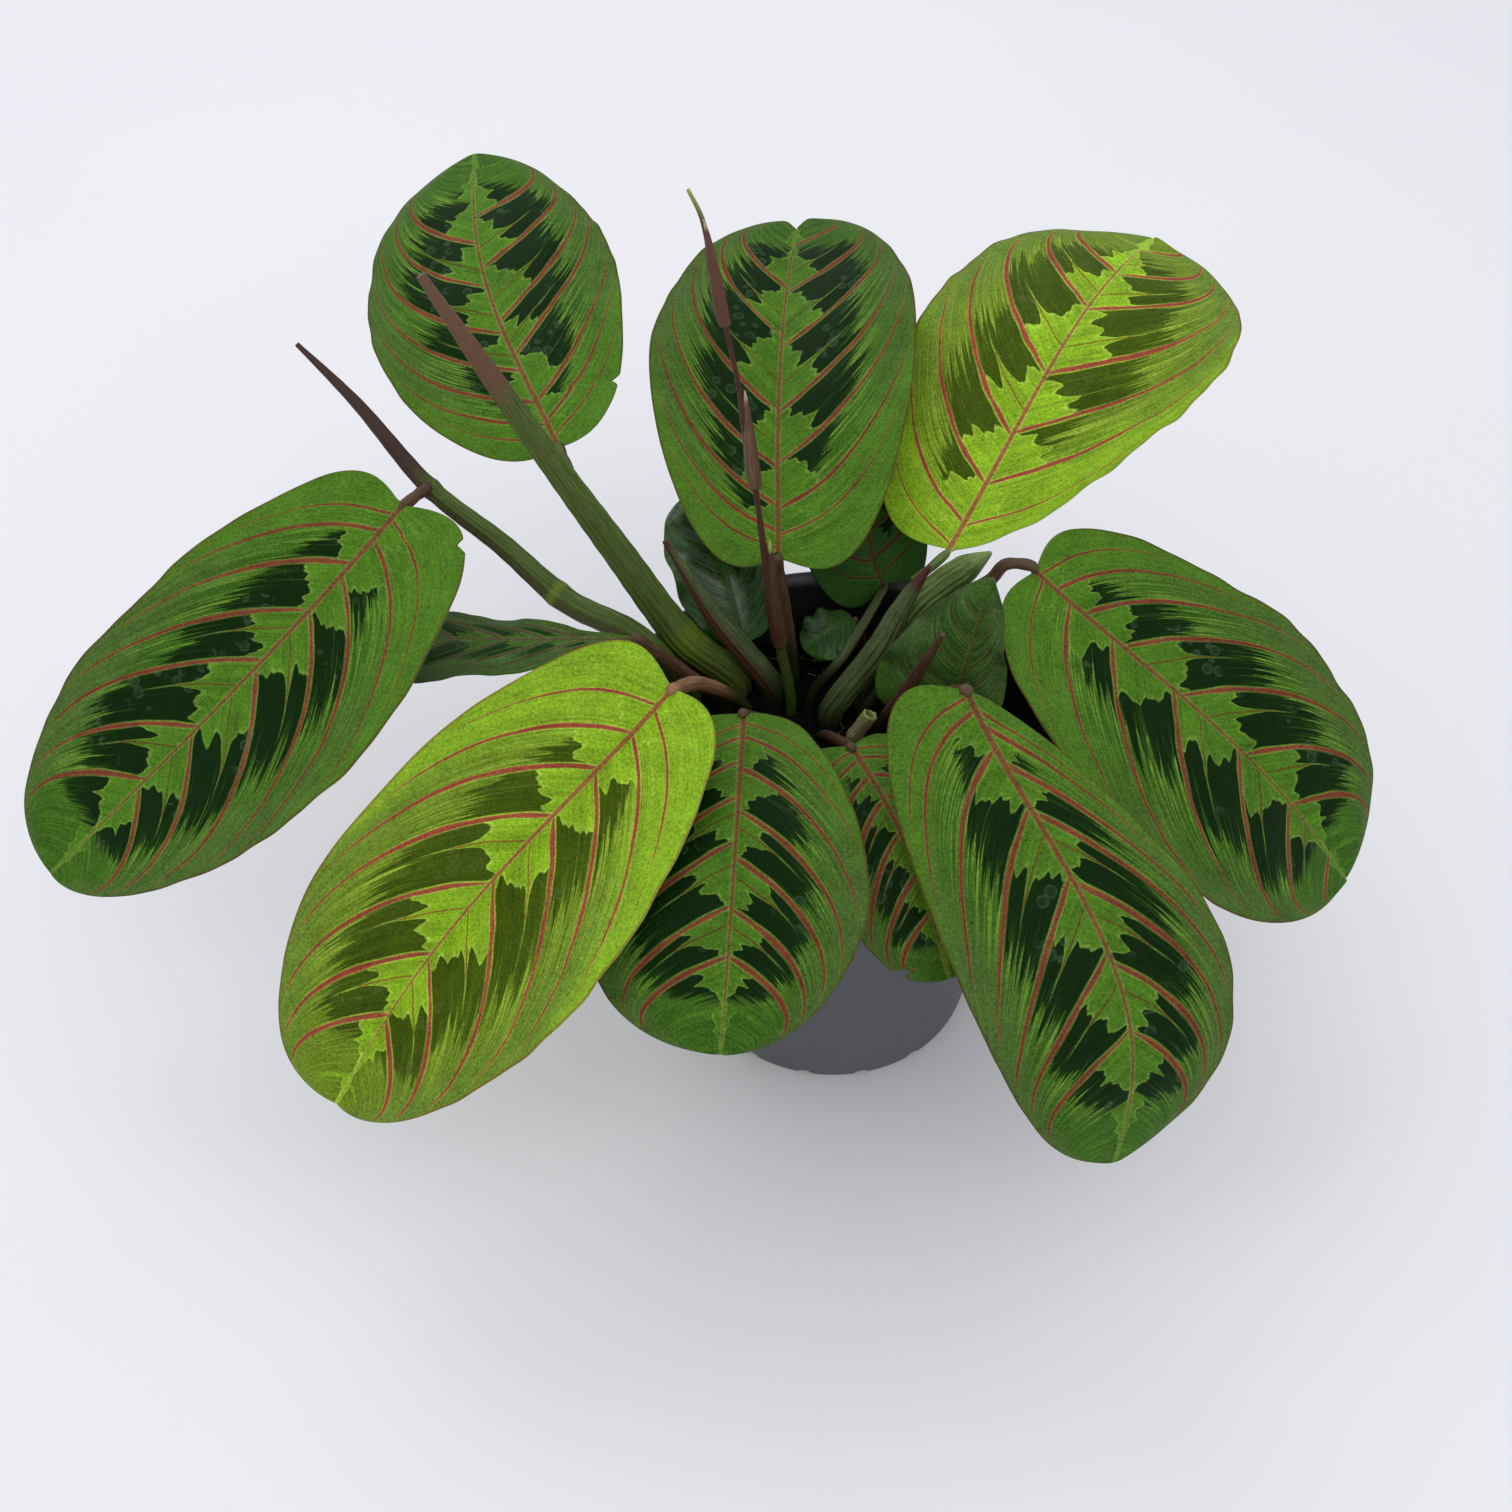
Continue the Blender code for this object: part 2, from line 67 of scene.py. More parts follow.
PLAIN_LEAF = dict(
    arch=10.0, peak=0.5, sway=0.0, roll=0.0, fold=0.0, bend=20.0, wave=2.0, waves=3.0, full=2.3,
    wide=0.5, skew=0.0, plump=0.0, lobe=4.0, curl=0.0, lean=0.0, cells=(144, 86), nicks=(), palette="green",
    veins=((2, 7, 16, 27, 42, 60, 75), (3, 8, 17, 29, 44, 61, 76)),
    sweep=0.88, quilt=0.6, gloss=0.55, band=1.0, vein_width=1.0, notch=0.0, tone=1.0, blotches=1.0,
)
# The tone of each leaf scales its whole colour: partly the leaf's own tone, partly painted shade and painted
# light.
LEAVES = {
    "back_left": dict(base=(-77.8, 59.6, 152.6), tip=(-110, 165, 191), arch=3, peak=0.55, sway=-7, roll=-13,
        fold=6, bend=13, width=78, wide=0.55, full=1.95, lobe=13, wave=1, nicks=((0.16, 1, 2.2, 0.012),),
        veins=((2, 7, 14, 24, 36, 52, 67), (3, 8, 14, 29, 40, 58, 76)), tone=0.95),
    "back": dict(base=(-16.8, 36.8, 131.4), tip=(-10, 155, 174), arch=9, sway=-2, roll=-2, fold=-13, bend=8,
        width=77, wide=0.51, skew=0.02, full=1.95, plump=0.2, lean=0.02, lobe=40, wave=1, notch=3.4,
        veins=((2, 6, 12, 21, 35, 57, 73), (5, 11, 22, 35, 53, 71)), tone=0.85),
    "back_right": dict(base=(30.2, 39, 133), tip=(96, 132, 179), arch=15, peak=0.6, roll=5, fold=2, bend=7,
        curl=-75, width=88, wide=0.56, skew=0.04, full=1.95, plump=-0.2, lean=0.02, lobe=20, wave=1,
        palette="lime", veins=((1, 7, 17, 29, 45, 65, 79), (6, 17, 30, 45, 64, 78))),
    "back_small": dict(base=(14.2, 51.7, 111), tip=(24, 120, 150), arch=8, peak=0.4, sway=-8, width=42,
        wide=0.42, full=2.1, lean=-0.06, lobe=18, wave=1, cells=(110, 64), palette="dark"),
    "glossy_small": dict(base=(-26, 34, 104), tip=(-41, 68, 132), arch=5, width=31, lobe=2, cells=(90, 56),
        palette="wet", gloss=0.16, quilt=0.7),
    "soil_small": dict(base=(5, 41, 107), tip=(-9, 34, 101), arch=2, width=21, lobe=2, wave=1,
        cells=(50, 30), palette="wet", gloss=0.30, quilt=0.15, tone=1.35),
    "right": dict(base=(51.9, 25.5, 135.7), tip=(141, -22, 65), arch=10, peak=0.6, sway=1, roll=19, fold=-8,
        bend=6, width=83, wide=0.54, full=1.95, plump=-0.1, lean=0.08, lobe=40, wave=1,
        veins=((1, 6, 14, 25, 41, 60, 76), (2, 10, 22, 39, 58, 75)), tone=0.88),
    "front_right": dict(base=(26.3, -35.2, 146.9), tip=(65, -103, 52), arch=19, peak=0.6, sway=-10, roll=19,
        fold=1, bend=13, width=62, wide=0.58, skew=-0.06, full=1.95, plump=0.2, lean=0.1, lobe=40, wave=1,
        veins=((3, 7, 15, 25, 39, 55, 69), (1, 4, 12, 24, 38, 53, 69)), tone=0.86),
    "folded": dict(base=(30.5, 4.5, 98), tip=(37.5, 9, 146), arch=2, roll=32, fold=-18, bend=8, width=37,
        wide=0.3, full=1.5, lean=-0.26, wave=1.6, cells=(100, 60), palette="grey", vein_width=0.45,
        band=0.4, blotches=0.3, quilt=1.0),
    "front": dict(base=(-26.2, -13.8, 119.8), tip=(-31, -100, 93), arch=9, peak=0.45, sway=-3, roll=14,
        fold=-3, bend=9, width=71, wide=0.6, full=1.95, plump=0.15, lean=0.08, lobe=34, wave=1,
        veins=((4, 10, 22, 36, 50, 64, 76), (5, 10, 19, 31, 45, 63, 76)), tone=0.8),
    "front_small": dict(base=(0.9, -26.1, 120), tip=(23, -79, 94), arch=10, roll=4, width=40, lobe=18,
        wave=1.5, bend=14, cells=(110, 70), nicks=((0.93, 1, 3.0, 0.02),), tone=0.72),
    "front_left": dict(base=(-43.8, -17.3, 131.4), tip=(-129, -87, 53), arch=5, peak=0.6, sway=4, roll=-22,
        fold=-25, bend=0, width=81, wide=0.51, full=1.95, plump=0.2, lean=-0.12, lobe=36, wave=1,
        palette="lime", veins=((5, 11, 21, 32, 48, 67, 81), (4, 11, 20, 32, 49, 66, 80))),
    "left": dict(base=(-117.8, 37.4, 148.7), tip=(-220, -20, 65), arch=4, peak=0.42, sway=-4, roll=-27,
        fold=-4, bend=-10, width=80, wide=0.48, skew=0.06, full=1.95, plump=0.2, lean=-0.07, lobe=34,
        wave=1, nicks=((0.06, -1, 1.8, 0.01),),
        veins=((3, 8, 17, 26, 41, 59, 74), (2, 6, 14, 26, 39, 57, 72)), tone=0.95),
    "left_edge": dict(base=(-55, 10, 125), tip=(-140, 28, 112), arch=-1, width=30, roll=2, lobe=0, bend=4,
        wide=0.66, full=1.9, wave=1.0, lean=-0.22, cells=(120, 60), palette="grey"),
}

LEAF_TONES = (
    "band", "band_edge", "blotch", "outer", "streak", "margin", "vein", "vein_core", "rib", "under", "mark",
)
PALETTES = {
    "green": ((76, 190, 12), (180, 310, 50), (2.8, 18, 0.6), (39, 116, 8), (155, 270, 34), (66, 130, 24),
        (235, 58, 28), (125, 22, 12), (200, 85, 35), (300, 310, 200), (100, 170, 90)),
    "lime": ((235, 420, 16), (400, 580, 70), (45, 78, 2), (125, 205, 12), (260, 370, 40), (120, 205, 24),
        (340, 60, 40), (215, 28, 20), (330, 130, 55), (420, 520, 260), (120, 160, 50)),
    "dark": ((26, 85, 12), (45, 120, 20), (2.5, 14, 1), (18, 62, 10), (60, 120, 30), (34, 80, 24),
        (80, 40, 16), (45, 18, 9), (85, 60, 22), (120, 170, 80), (80, 130, 80)),
    "grey": ((50, 125, 12), (90, 170, 30), (6, 32, 2), (42, 105, 18), (110, 190, 55), (48, 95, 26),
        (100, 75, 30), (30, 50, 14), (110, 95, 35), (120, 170, 80), (100, 160, 100)),
    "wet": ((16, 70, 3), (26, 85, 6), (6, 30, 1), (14, 62, 3), (40, 120, 10), (20, 75, 5), (20, 45, 12),
        (10, 20, 6), (40, 80, 20), (80, 120, 50), (60, 100, 60)),
}


class Field:
    """A number or colour that varies over a surface: a node's output, and the sums that can be done on it."""

    def __init__(self, graph, socket):
        self.graph, self.socket = graph, socket

    def __add__(self, other):
        return self.graph.math("ADD", self, other)

    __radd__ = __add__

    def __sub__(self, other):
        return self.graph.math("SUBTRACT", self, other)

    def __rsub__(self, other):
        return self.graph.math("SUBTRACT", other, self)

    def __mul__(self, other):
        return self.graph.math("MULTIPLY", self, other)

    def __abs__(self):
        return self.graph.math("ABSOLUTE", self)


class Graph:
    """A material under construction, with one short call for each kind of node that it needs."""

    def __init__(self, name, roughness, specular=0.5):
        self.material = bpy.data.materials.new(name)
        self.material.use_nodes = True
        self.nodes = self.material.node_tree.nodes
        self.shader = self.nodes["Principled BSDF"].inputs
        self.shader["Roughness"].default_value = roughness
        self.shader["Specular IOR Level"].default_value = specular
        self.colour = None

    def link(self, value, socket):
        if isinstance(value, Field):
            self.material.node_tree.links.new(value.socket, socket)
        elif isinstance(value, tuple):
            socket.default_value = (*value, 1.0)
        else:
            socket.default_value = value

    def node(self, kind, given, output=0, **settings):
        """A new node's output. Sockets, by name or number, get a link to a field or a value."""
        node = self.nodes.new("ShaderNode" + kind)
        for setting, value in settings.items():
            setattr(node, setting, value)
        for socket, value in given.items():
            self.link(value, node.inputs[socket])
        return Field(self, node.outputs[output])

    def math(self, operation, *values):
        return self.node("Math", dict(enumerate(values)), operation=operation)

    def step(self, value, low, high, to_low=0.0, to_high=1.0):
        """Runs smoothly from to_low to to_high as the value goes from low to high."""
        given = dict(enumerate((value, low, high, to_low, to_high)))
        return self.node("MapRange", given, interpolation_type="SMOOTHSTEP")

    def mix(self, factor, first, second, blend="MIX"):
        given = {0: factor, 6: first, 7: second}
        return self.node("Mix", given, 2, data_type="RGBA", blend_type=blend, clamp_factor=True)

    def lerp(self, factor, first, second):
        return self.node("Mix", {0: factor, 2: first, 3: second})

    def vector(self, x, y, z):
        return self.node("CombineXYZ", {0: x, 1: y, 2: z})

    def parts(self, vector):
        outputs = self.node("SeparateXYZ", {0: vector}).socket.node.outputs
        return [Field(self, output) for output in outputs]

    def attribute(self, name):
        """The three numbers of a vector attribute that the mesh carries."""
        return self.parts(self.node("Attribute", {}, "Vector", attribute_name=name))

    def place(self):
        return self.node("TexCoord", {}, "Object")

    def noise(self, vector, scale=1.0, detail=2.0, roughness=0.5, distortion=0.0):
        given = dict(Vector=vector, Scale=scale, Detail=detail, Roughness=roughness, Distortion=distortion)
        return self.node("TexNoise", given, "Fac")

    def voronoi(self, vector, scale):
        """The distance to the nearest of many scattered points."""
        return self.node("TexVoronoi", {"Vector": vector, "Scale": scale}, "Distance")

    def curve(self, value, points):
        """A curve through the given points, from 0 to 1 along."""
        field = self.node("FloatCurve", {"Value": value})
        mapping = field.socket.node.mapping
        line = mapping.curves[0]
        while len(line.points) < len(points):
            line.points.new(0.5, 0.5)
        for spot, place in zip(line.points, points):
            spot.location = place
            spot.handle_type = "AUTO_CLAMPED"
        mapping.update()
        return field

    def paint(self, factor, tone):
        """Lays the tone over the colour so far, fully where the factor is 1."""
        self.colour = self.mix(factor, self.colour, tone)

    def shade(self, value):
        """Multiplies the colour so far by the value."""
        self.colour = self.mix(1.0, self.colour, self.vector(value, value, value), "MULTIPLY")

    def finish(self, colour, roughness=None, height=None, strength=0.0, distance=0.0):
        """The material, its shader given the colour and, where they are given, the roughness and bumps."""
        self.link(colour, self.shader["Base Color"])
        if roughness is not None:
            self.link(roughness, self.shader["Roughness"])
        if height is not None:
            bump = self.node("Bump", {"Strength": strength, "Distance": distance, "Height": height})
            self.link(bump, self.shader["Normal"])
        return self.material


def named_tones(names, colours):
    """The named colours of a look, whose tables give them in thousandths."""
    return {name: tuple(part / 1000.0 for part in colour) for name, colour in zip(names, colours)}


def unit(vectors):
    return vectors / np.maximum(np.linalg.norm(vectors, axis=-1, keepdims=True), 1e-12)


def new_object(name, data):
    made = bpy.data.objects.new(name, data)
    bpy.context.scene.collection.objects.link(made)
    return made


def stand_for(piece, node):
    """The piece rides on the root and replaces the CAD node, which is hidden."""
    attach(piece, "root")
    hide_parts(node)


def mesh_piece(name, points, faces, material, node, attributes=None):
    """A smooth mesh that stands for a CAD node, from places in millimetres."""
    mesh = bpy.data.meshes.new(name)
    mesh.from_pydata((np.asarray(points).reshape(-1, 3) * MM).tolist(), [], faces)
    mesh.polygons.foreach_set("use_smooth", np.ones(len(mesh.polygons), bool))
    for label, values in (attributes or {}).items():
        mesh.attributes.new(label, "FLOAT_VECTOR", "POINT").data.foreach_set("vector", np.ravel(values))
    mesh.update()
    mesh.materials.append(material)
    piece = new_object(name, mesh)
    stand_for(piece, node)
    return piece


def mesh_from(bm, name, *materials):
    mesh = bpy.data.meshes.new(name)
    bm.to_mesh(mesh)
    bm.free()
    for material in materials:
        mesh.materials.append(material)
    return mesh


def leaf_outline(leaf, u, side):
    """The blade's half-width at u, as a share of half its full width, with this side's nicks taken out."""
    wide = leaf["wide"] + leaf["skew"] * side
    full = leaf["full"] + leaf["plump"] * side
    stretch = 2.0 * u ** (math.log(0.5) / np.log(wide)) - 1.0
    outline = np.maximum(1.0 - np.abs(stretch) ** full, 0.0) ** (1.0 / full)
    for nick_u, nick_side, depth, spread in leaf["nicks"]:
        dip = np.maximum(1.0 - np.abs(u - nick_u) / spread, 0.0) * (side == nick_side)
        outline = outline - dip * np.minimum(2.0 * depth / leaf["width"], outline * 0.6)
    return outline


def leaf_surface(leaf, u, v):
    """Places in millimetres on the blade's middle surface, with the flat distance across there."""
    base, tip = (np.array(leaf[end], float) for end in ("base", "tip"))
    chord = tip - base
    along = unit(chord)
    face = unit(UP - along * (UP @ along))
    side = np.cross(along, face)
    roll = math.radians(leaf["roll"])
    face, side = face * math.cos(roll) + side * math.sin(roll), side * math.cos(roll) - face * math.sin(roll)
    power = math.log(0.5) / math.log(leaf["peak"])

    def rib(at):
        at = np.clip(at, 0.0, 1.0)[..., None]
        return base + chord * at + (face * leaf["arch"] + side * leaf["sway"]) * np.sin(math.pi * at**power)

    tangent = unit(rib(u + 0.001) - rib(u - 0.001))
    across = unit(side - tangent * (tangent @ side)[..., None])
    normal = np.cross(across, tangent)
    hand = np.sign(v)
    far = np.abs(v)
    half = leaf["width"] / 2.0
    reach = half * leaf_outline(leaf, u, hand) * (1.0 + leaf["lean"] * hand) * far
    curl = np.where(hand > 0, math.radians(leaf["curl"]), 0.0) * np.maximum(1.25 - 1.25 * u, 0.0) ** 0.7
    flat = np.zeros_like(u)
    drop = np.zeros_like(u)
    parts = 16
    for part in range(parts):
        at = far * (part + 0.5) / parts
        rolled = np.maximum((at - 0.45) / 0.55, 0.0) ** 1.3
        angle = np.radians(leaf["fold"] + leaf["bend"] * at) + curl * rolled
        flat += np.cos(angle) / parts
        drop += np.sin(angle) / parts
    ripple = leaf["wave"] * np.sin(2 * math.pi * (leaf["waves"] * u + 0.25 * hand)) * far**2
    ripple *= np.maximum(np.sin(math.pi * u), 0.0) ** 0.5
    back = leaf["lobe"] * (reach / half) ** 1.3 * (1.0 - u) ** 6
    places = rib(u) + across * (flat * reach * hand)[..., None] + normal * (ripple - drop * reach)[..., None]
    return places - tangent * back[..., None], reach * hand


def vein_number(leaf, u, v, hand):
    """Counts side veins from the base: a whole number on each vein, running on between them."""
    far = np.where(np.sign(v) == hand, np.abs(v), 0.0)
    run = far * (0.05 + (leaf["sweep"] - 0.05) * u)
    start = 1.0 - (1.0 - u) / (1.0 - run)
    starts = np.array(leaf["veins"][int(hand > 0)]) / 100.0
    before = (start - starts[0]) / max(starts[0], 0.03)
    after = len(starts) - 1 + (start - starts[-1]) / (starts[-1] - starts[-2])
    between = np.interp(start, starts, np.arange(len(starts)))
    return np.where(start < starts[0], before, np.where(start > starts[-1], after, between))


def grid_normals(places):
    along = np.gradient(places, axis=0)
    across = np.gradient(places, axis=1)
    return unit(np.cross(across, along))


def spacing(values, places):
    """How many millimetres of blade lie to one whole step of the values."""
    total = 0.0
    for axis in (0, 1):
        length = np.linalg.norm(np.gradient(places, axis=axis), axis=-1)
        total = total + (np.gradient(values, axis=axis) / np.maximum(length, 0.05)) ** 2
    return 1.0 / np.sqrt(np.maximum(total, 1e-4))


def build_leaf(name, leaf, seed):
    """A fine blade with its own thickness, quilted between the side veins and ribbed along its middle."""
    columns, rows = leaf["cells"]
    x = np.linspace(0.0, 1.0, columns + 1)
    u_line = np.clip(0.2 * x + 0.8 * (0.5 - 0.5 * np.cos(math.pi * x)), 0.0004, 0.9996)
    s = np.linspace(-1.0, 1.0, rows + 1)
    v_line = np.sign(s) * np.abs(s) ** 1.15
    u, v = np.meshgrid(u_line, v_line, indexing="ij")
    places, lateral = leaf_surface(leaf, u, v)
    normal = grid_normals(places)
    if normal[columns // 2, rows // 2] @ UP < 0:
        normal = -normal
    left, right = (vein_number(leaf, u, v, hand) for hand in (-1, 1))
    number = np.where(v > 0, right, left)
    cell_width = np.where(v > 0, spacing(right, places), spacing(left, places))

    far = np.abs(v)
    part = number - np.floor(number)
    inside = (number > -0.5) & (number < len(leaf["veins"][0]) - 0.1)
    pillow = np.sin(math.pi * part) ** 0.7 * np.clip(far * 6, 0, 1) * np.clip((1.02 - far) * 2.2, 0, 1)
    lift = leaf["quilt"] * np.where(inside, pillow, 0.0) * np.clip(cell_width / WIDE_CELL, 0.15, 1.0)
    rng = random.Random(seed)
    for waves, share in EDGE_WAVES:
        phase = rng.random() * ROUND
        rise = np.sin(waves * TURN * u + phase + v * 2.0) * far**4 * np.sin(math.pi * u) ** 0.5
        lift += share * leaf["width"] * rise
    rib = np.exp(-((lateral / RIB_WIDTH) ** 2)) * (1.0 - 0.75 * u)
    skin = BLADE_HALF - EDGE_THINNING * far**6
    top = places + normal * (lift - RIB_GROOVE * rib + skin)[..., None]
    bottom = places + normal * (lift - RIB_RIDGE * rib - skin)[..., None]
    if leaf["notch"]:
        chord = unit(np.array(leaf["tip"], float) - leaf["base"])
        cut = leaf["notch"] * np.exp(-((lateral / TIP_NOTCH_WIDTH) ** 2))
        cut = cut * np.clip((u - 0.88) / 0.12, 0.0, 1.0) ** 2
        top, bottom = (sheet - chord * cut[..., None] for sheet in (top, bottom))

    def index(i, j):
        return i * (rows + 1) + j

    count = (columns + 1) * (rows + 1)
    faces = []
    for i in range(columns):
        for j in range(rows):
            a, b, c, d = index(i, j), index(i + 1, j), index(i + 1, j + 1), index(i, j + 1)
            faces += [(a, b, c, d), (a + count, d + count, c + count, b + count)]
    edge = [index(i, 0) for i in range(columns + 1)] + [index(columns, j) for j in range(1, rows + 1)]
    edge += [index(i, rows) for i in range(columns - 1, -1, -1)]
    edge += [index(0, j) for j in range(rows - 1, 0, -1)]
    faces += [(b, a, a + count, b + count) for a, b in zip(edge, edge[1:] + edge[:1])]

    def layer(*fields):
        return np.tile(np.stack([field.ravel() for field in fields], -1), (2, 1))

    upper = np.zeros((2 * count, 3))
    upper[:count, 0] = 1.0
    attributes = {"veins": layer(left, right, cell_width), "spot": layer(v, lateral, u), "upper": upper}
    mesh_piece(f"fine_leaf_{name}", np.stack([top, bottom]), faces, leaf_material(name, leaf, seed),
               f"leaf_{name}", attributes)


SIDE_SHIFT, LEAF_SHIFT = 7.3, 11.7
BAND_EDGE = ((0.0, 0.31), (0.10, 0.30), (0.22, 0.25), (0.34, 0.23), (0.46, 0.19), (0.60, 0.15),
             (0.78, 0.10), (0.92, 0.055), (1.0, 0.04))
TOOTH = ((0.0, 0.0), (0.26, 0.0), (0.33, 0.06), (0.37, 0.14), (0.41, 0.06), (0.48, 0.0), (1.0, 0.0))
BLOTCH_REACH = ((0.0, 0.0), (0.12, 0.0), (0.16, 0.36), (0.25, 0.50), (0.40, 0.57), (0.60, 0.60), (0.72, 0.56),
                (0.82, 0.42), (0.92, 0.20), (1.0, 0.0))
TOOTH_PLACE = 0.37
LONGEST_COUNT = 8.0


def leaf_material(name, leaf, seed):
    """The herringbone: red side veins, a light toothed band, dark blotches and a streaked edge.

    Of the coordinates, far runs from the midrib to the margin, reach is the same in millimetres,
    number counts the side veins and part runs from one side vein to the next.
    """
    look = named_tones(LEAF_TONES, PALETTES[leaf["palette"]])
    g = Graph(f"leaf_{name}", leaf["gloss"], 0.45 if leaf["palette"] == "wet" else 0.06)
    left, right, cell_width = g.attribute("veins")
    v, lateral, u = g.attribute("spot")
    upper = g.attribute("upper")[0]
    side = g.math("GREATER_THAN", v, 0.0)
    number = g.lerp(side, left, right)
    far, reach = abs(v), abs(lateral)
    shift = side * SIDE_SHIFT + seed * LEAF_SHIFT

    lane = number * 12.0
    fine = g.noise(g.vector(lane * 2.2, reach * 0.07, shift), 1.0, 3.0, 0.6)
    broad = g.noise(g.vector(lane * 0.42, reach * 0.05, shift), 1.0, 1.0, 0.4)
    wobble = g.noise(g.vector(reach * 0.12, g.math("FLOOR", number), shift), 1.0, 1.0)
    per_cell = g.noise(g.vector(g.math("FLOOR", number) * 3.7, 0.0, shift), 1.0, 0.0)
    number = number + (wobble - 0.5) * 0.10
    part = g.math("FRACT", number)
    finger = g.noise(g.vector(lane * 1.1, reach * 0.03, shift), 1.0, 2.0, 0.75)
    grain = g.noise(g.place(), 1500.0, 3.0, 0.75)
    mottle = g.noise(g.place(), 140.0, 4.0, 0.65)
    cloud = g.noise(g.place(), 28.0, 2.0, 0.5)

    count = len(leaf["veins"][0])
    grown = g.step(number, 2.0, 3.4)
    band_edge = g.curve(part, BAND_EDGE) + (broad - 0.5) * 0.26 + g.curve(part, TOOTH) * grown
    band_edge = band_edge + (fine - 0.5) * 0.018 + g.step(number, 1.2, 3.0, 0.10, 0.0)
    band_edge = band_edge * g.step(u, 0.70, 0.97, leaf["band"], leaf["band"] * 0.30)
    blotch_edge = g.curve(g.math("DIVIDE", number, LONGEST_COUNT), BLOTCH_REACH) + (finger - 0.5) * 0.60
    blotch_edge = blotch_edge + (per_cell - 0.5) * 0.25 + g.step(part, 0.0, 1.0, 0.05, -0.05)
    in_band = g.step(far, band_edge - 0.006, band_edge + 0.006, 1.0, 0.0)
    in_blotch = g.step(far, blotch_edge - 0.010, blotch_edge + 0.014, 1.0, 0.0) * (1.0 - in_band)
    ending = u + (finger - 0.5) * 0.12
    in_blotch = in_blotch * g.step(ending, 0.855, 0.885, leaf["blotches"], 0.0)

    streaky = g.step(fine, 0.47, 0.60) * g.step(far, 0.50, 0.90, 0.80, 0.10)
    streaky = streaky * g.step(ending, 0.83, 0.90, 1.0, 0.15)
    outer = g.mix(g.step(far + (cloud - 0.5) * 0.5, 0.55, 0.95), look["outer"], look["margin"])
    outer = g.mix(streaky, outer, look["streak"])
    outer = g.mix(g.step(number, 0.2, 2.0, 0.8, 0.0), outer, look["band"])
    past = in_band * g.step(far, band_edge - 0.03, band_edge - 0.008)
    band = g.mix(past * 0.6, look["band"], look["band_edge"])
    band = g.mix(g.step(broad, 0.42, 0.62, 0.0, 0.35), band, look["outer"])
    g.colour = g.mix(in_band, outer, band)
    within = g.step(far, blotch_edge - 0.22, blotch_edge)
    blotch = g.mix(within * g.step(fine, 0.50, 0.64, 0.0, 0.55), look["blotch"], look["outer"])
    g.paint(in_blotch, blotch)
    sliver = g.step((1.0 - part) * cell_width, 0.7, 1.2, 1.0, 0.0) * g.step(far, 0.30, 0.62, 1.0, 0.0)
    g.paint(sliver * 0.7, look["band"])

    nearest = g.math("ROUND", number)
    from_vein = abs(number - nearest) * cell_width
    vein_half = g.step(far, 0.0, 0.12, 0.42, 0.62) * g.step(far, 0.45, 0.99, 1.0, 0.34)
    vein_half = vein_half * g.step(nearest, 0.0, 1.5, 0.60, 1.0) * leaf["vein_width"]
    real = g.math("GREATER_THAN", nearest, -0.5) * g.math("LESS_THAN", nearest, count - 0.5)
    real = real * g.step(far, 0.88, 0.97, 1.0, 0.0) * g.step(cell_width, 0.8, 1.8)
    # A pale halo beside each side vein: partly the blade's pale vein border, partly a painted highlight on
    # the vein relief.
    vein_halo_and_highlight = g.step(from_vein, vein_half + 0.08, vein_half + 0.45, 1.0, 0.0) * real
    vein = g.step(from_vein, vein_half - 0.12, vein_half + 0.10, 1.0, 0.0) * real
    core = g.step(from_vein, 0.0, vein_half * 0.8, 1.0, 0.0) * real
    g.paint(vein_halo_and_highlight * g.step(far, 0.15, 0.75, 0.60, 0.12), look["band_edge"])
    vein_colour = g.mix(g.step(far, 0.0, 0.10), look["rib"], look["vein"])
    vein_colour = g.mix(core * g.step(far, 0.1, 0.8, 0.55, 0.9), vein_colour, look["vein_core"])
    g.paint(vein * 0.95, vein_colour)

    second = g.step(abs(part - TOOTH_PLACE) * cell_width, 0.12, 0.30, 1.0, 0.0) * grown
    second = second * g.math("LESS_THAN", number, count - 1.4)
    g.paint(second * in_band * 0.75, look["vein_core"])
    g.paint(second * in_blotch * g.step(far, 0.36, 0.55, 0.5, 0.0), look["band_edge"])

    rib_half = g.step(u, 0.0, 0.9, 0.72, 0.26)
    g.paint(g.step(reach, rib_half + 0.15, rib_half + 0.65, 0.35, 0.0), look["band_edge"])
    rib = g.step(reach, rib_half - 0.10, rib_half + 0.15, 1.0, 0.0) * g.step(u, 0.80, 0.97, 1.0, 0.2)
    rib_colour = g.mix(g.step(reach, 0.0, rib_half * 0.9, 0.6, 0.0), look["rib"], look["vein_core"])
    rib_colour = g.mix(g.step(fine, 0.4, 0.6, 0.0, 0.4), rib_colour, look["vein"])
    g.paint(rib * 0.9, rib_colour)

    away = g.voronoi(g.place(), 240.0)
    ring = g.step(abs(away - 0.34), 0.02, 0.09, 1.0, 0.0)
    wetted = ring * 0.6 + g.step(away, 0.30, 0.36, 0.30, 0.0)
    chosen = g.step(g.noise(g.place(), 60.0, 2.0, 0.6), 0.54, 0.60)
    wetted = wetted * chosen * (in_blotch * 0.85 + 0.15)
    g.paint(wetted * 0.32, look["mark"])
    lined = (fine - 0.5) * 0.95 + (grain - 0.5) * 2.10
    g.shade(1.0 + lined + (mottle - 0.5) * 0.80)
    g.paint(g.step(far, 0.975, 0.995, 0.0, 0.5), look["vein_core"])
    # Each leaf's tone multiplies all its colours: partly the leaf's own tone, partly painted shade and
    # painted light that copy how lit the leaf looks.
    g.colour = g.mix(1.0, g.colour, (leaf["tone"],) * 3, "MULTIPLY")

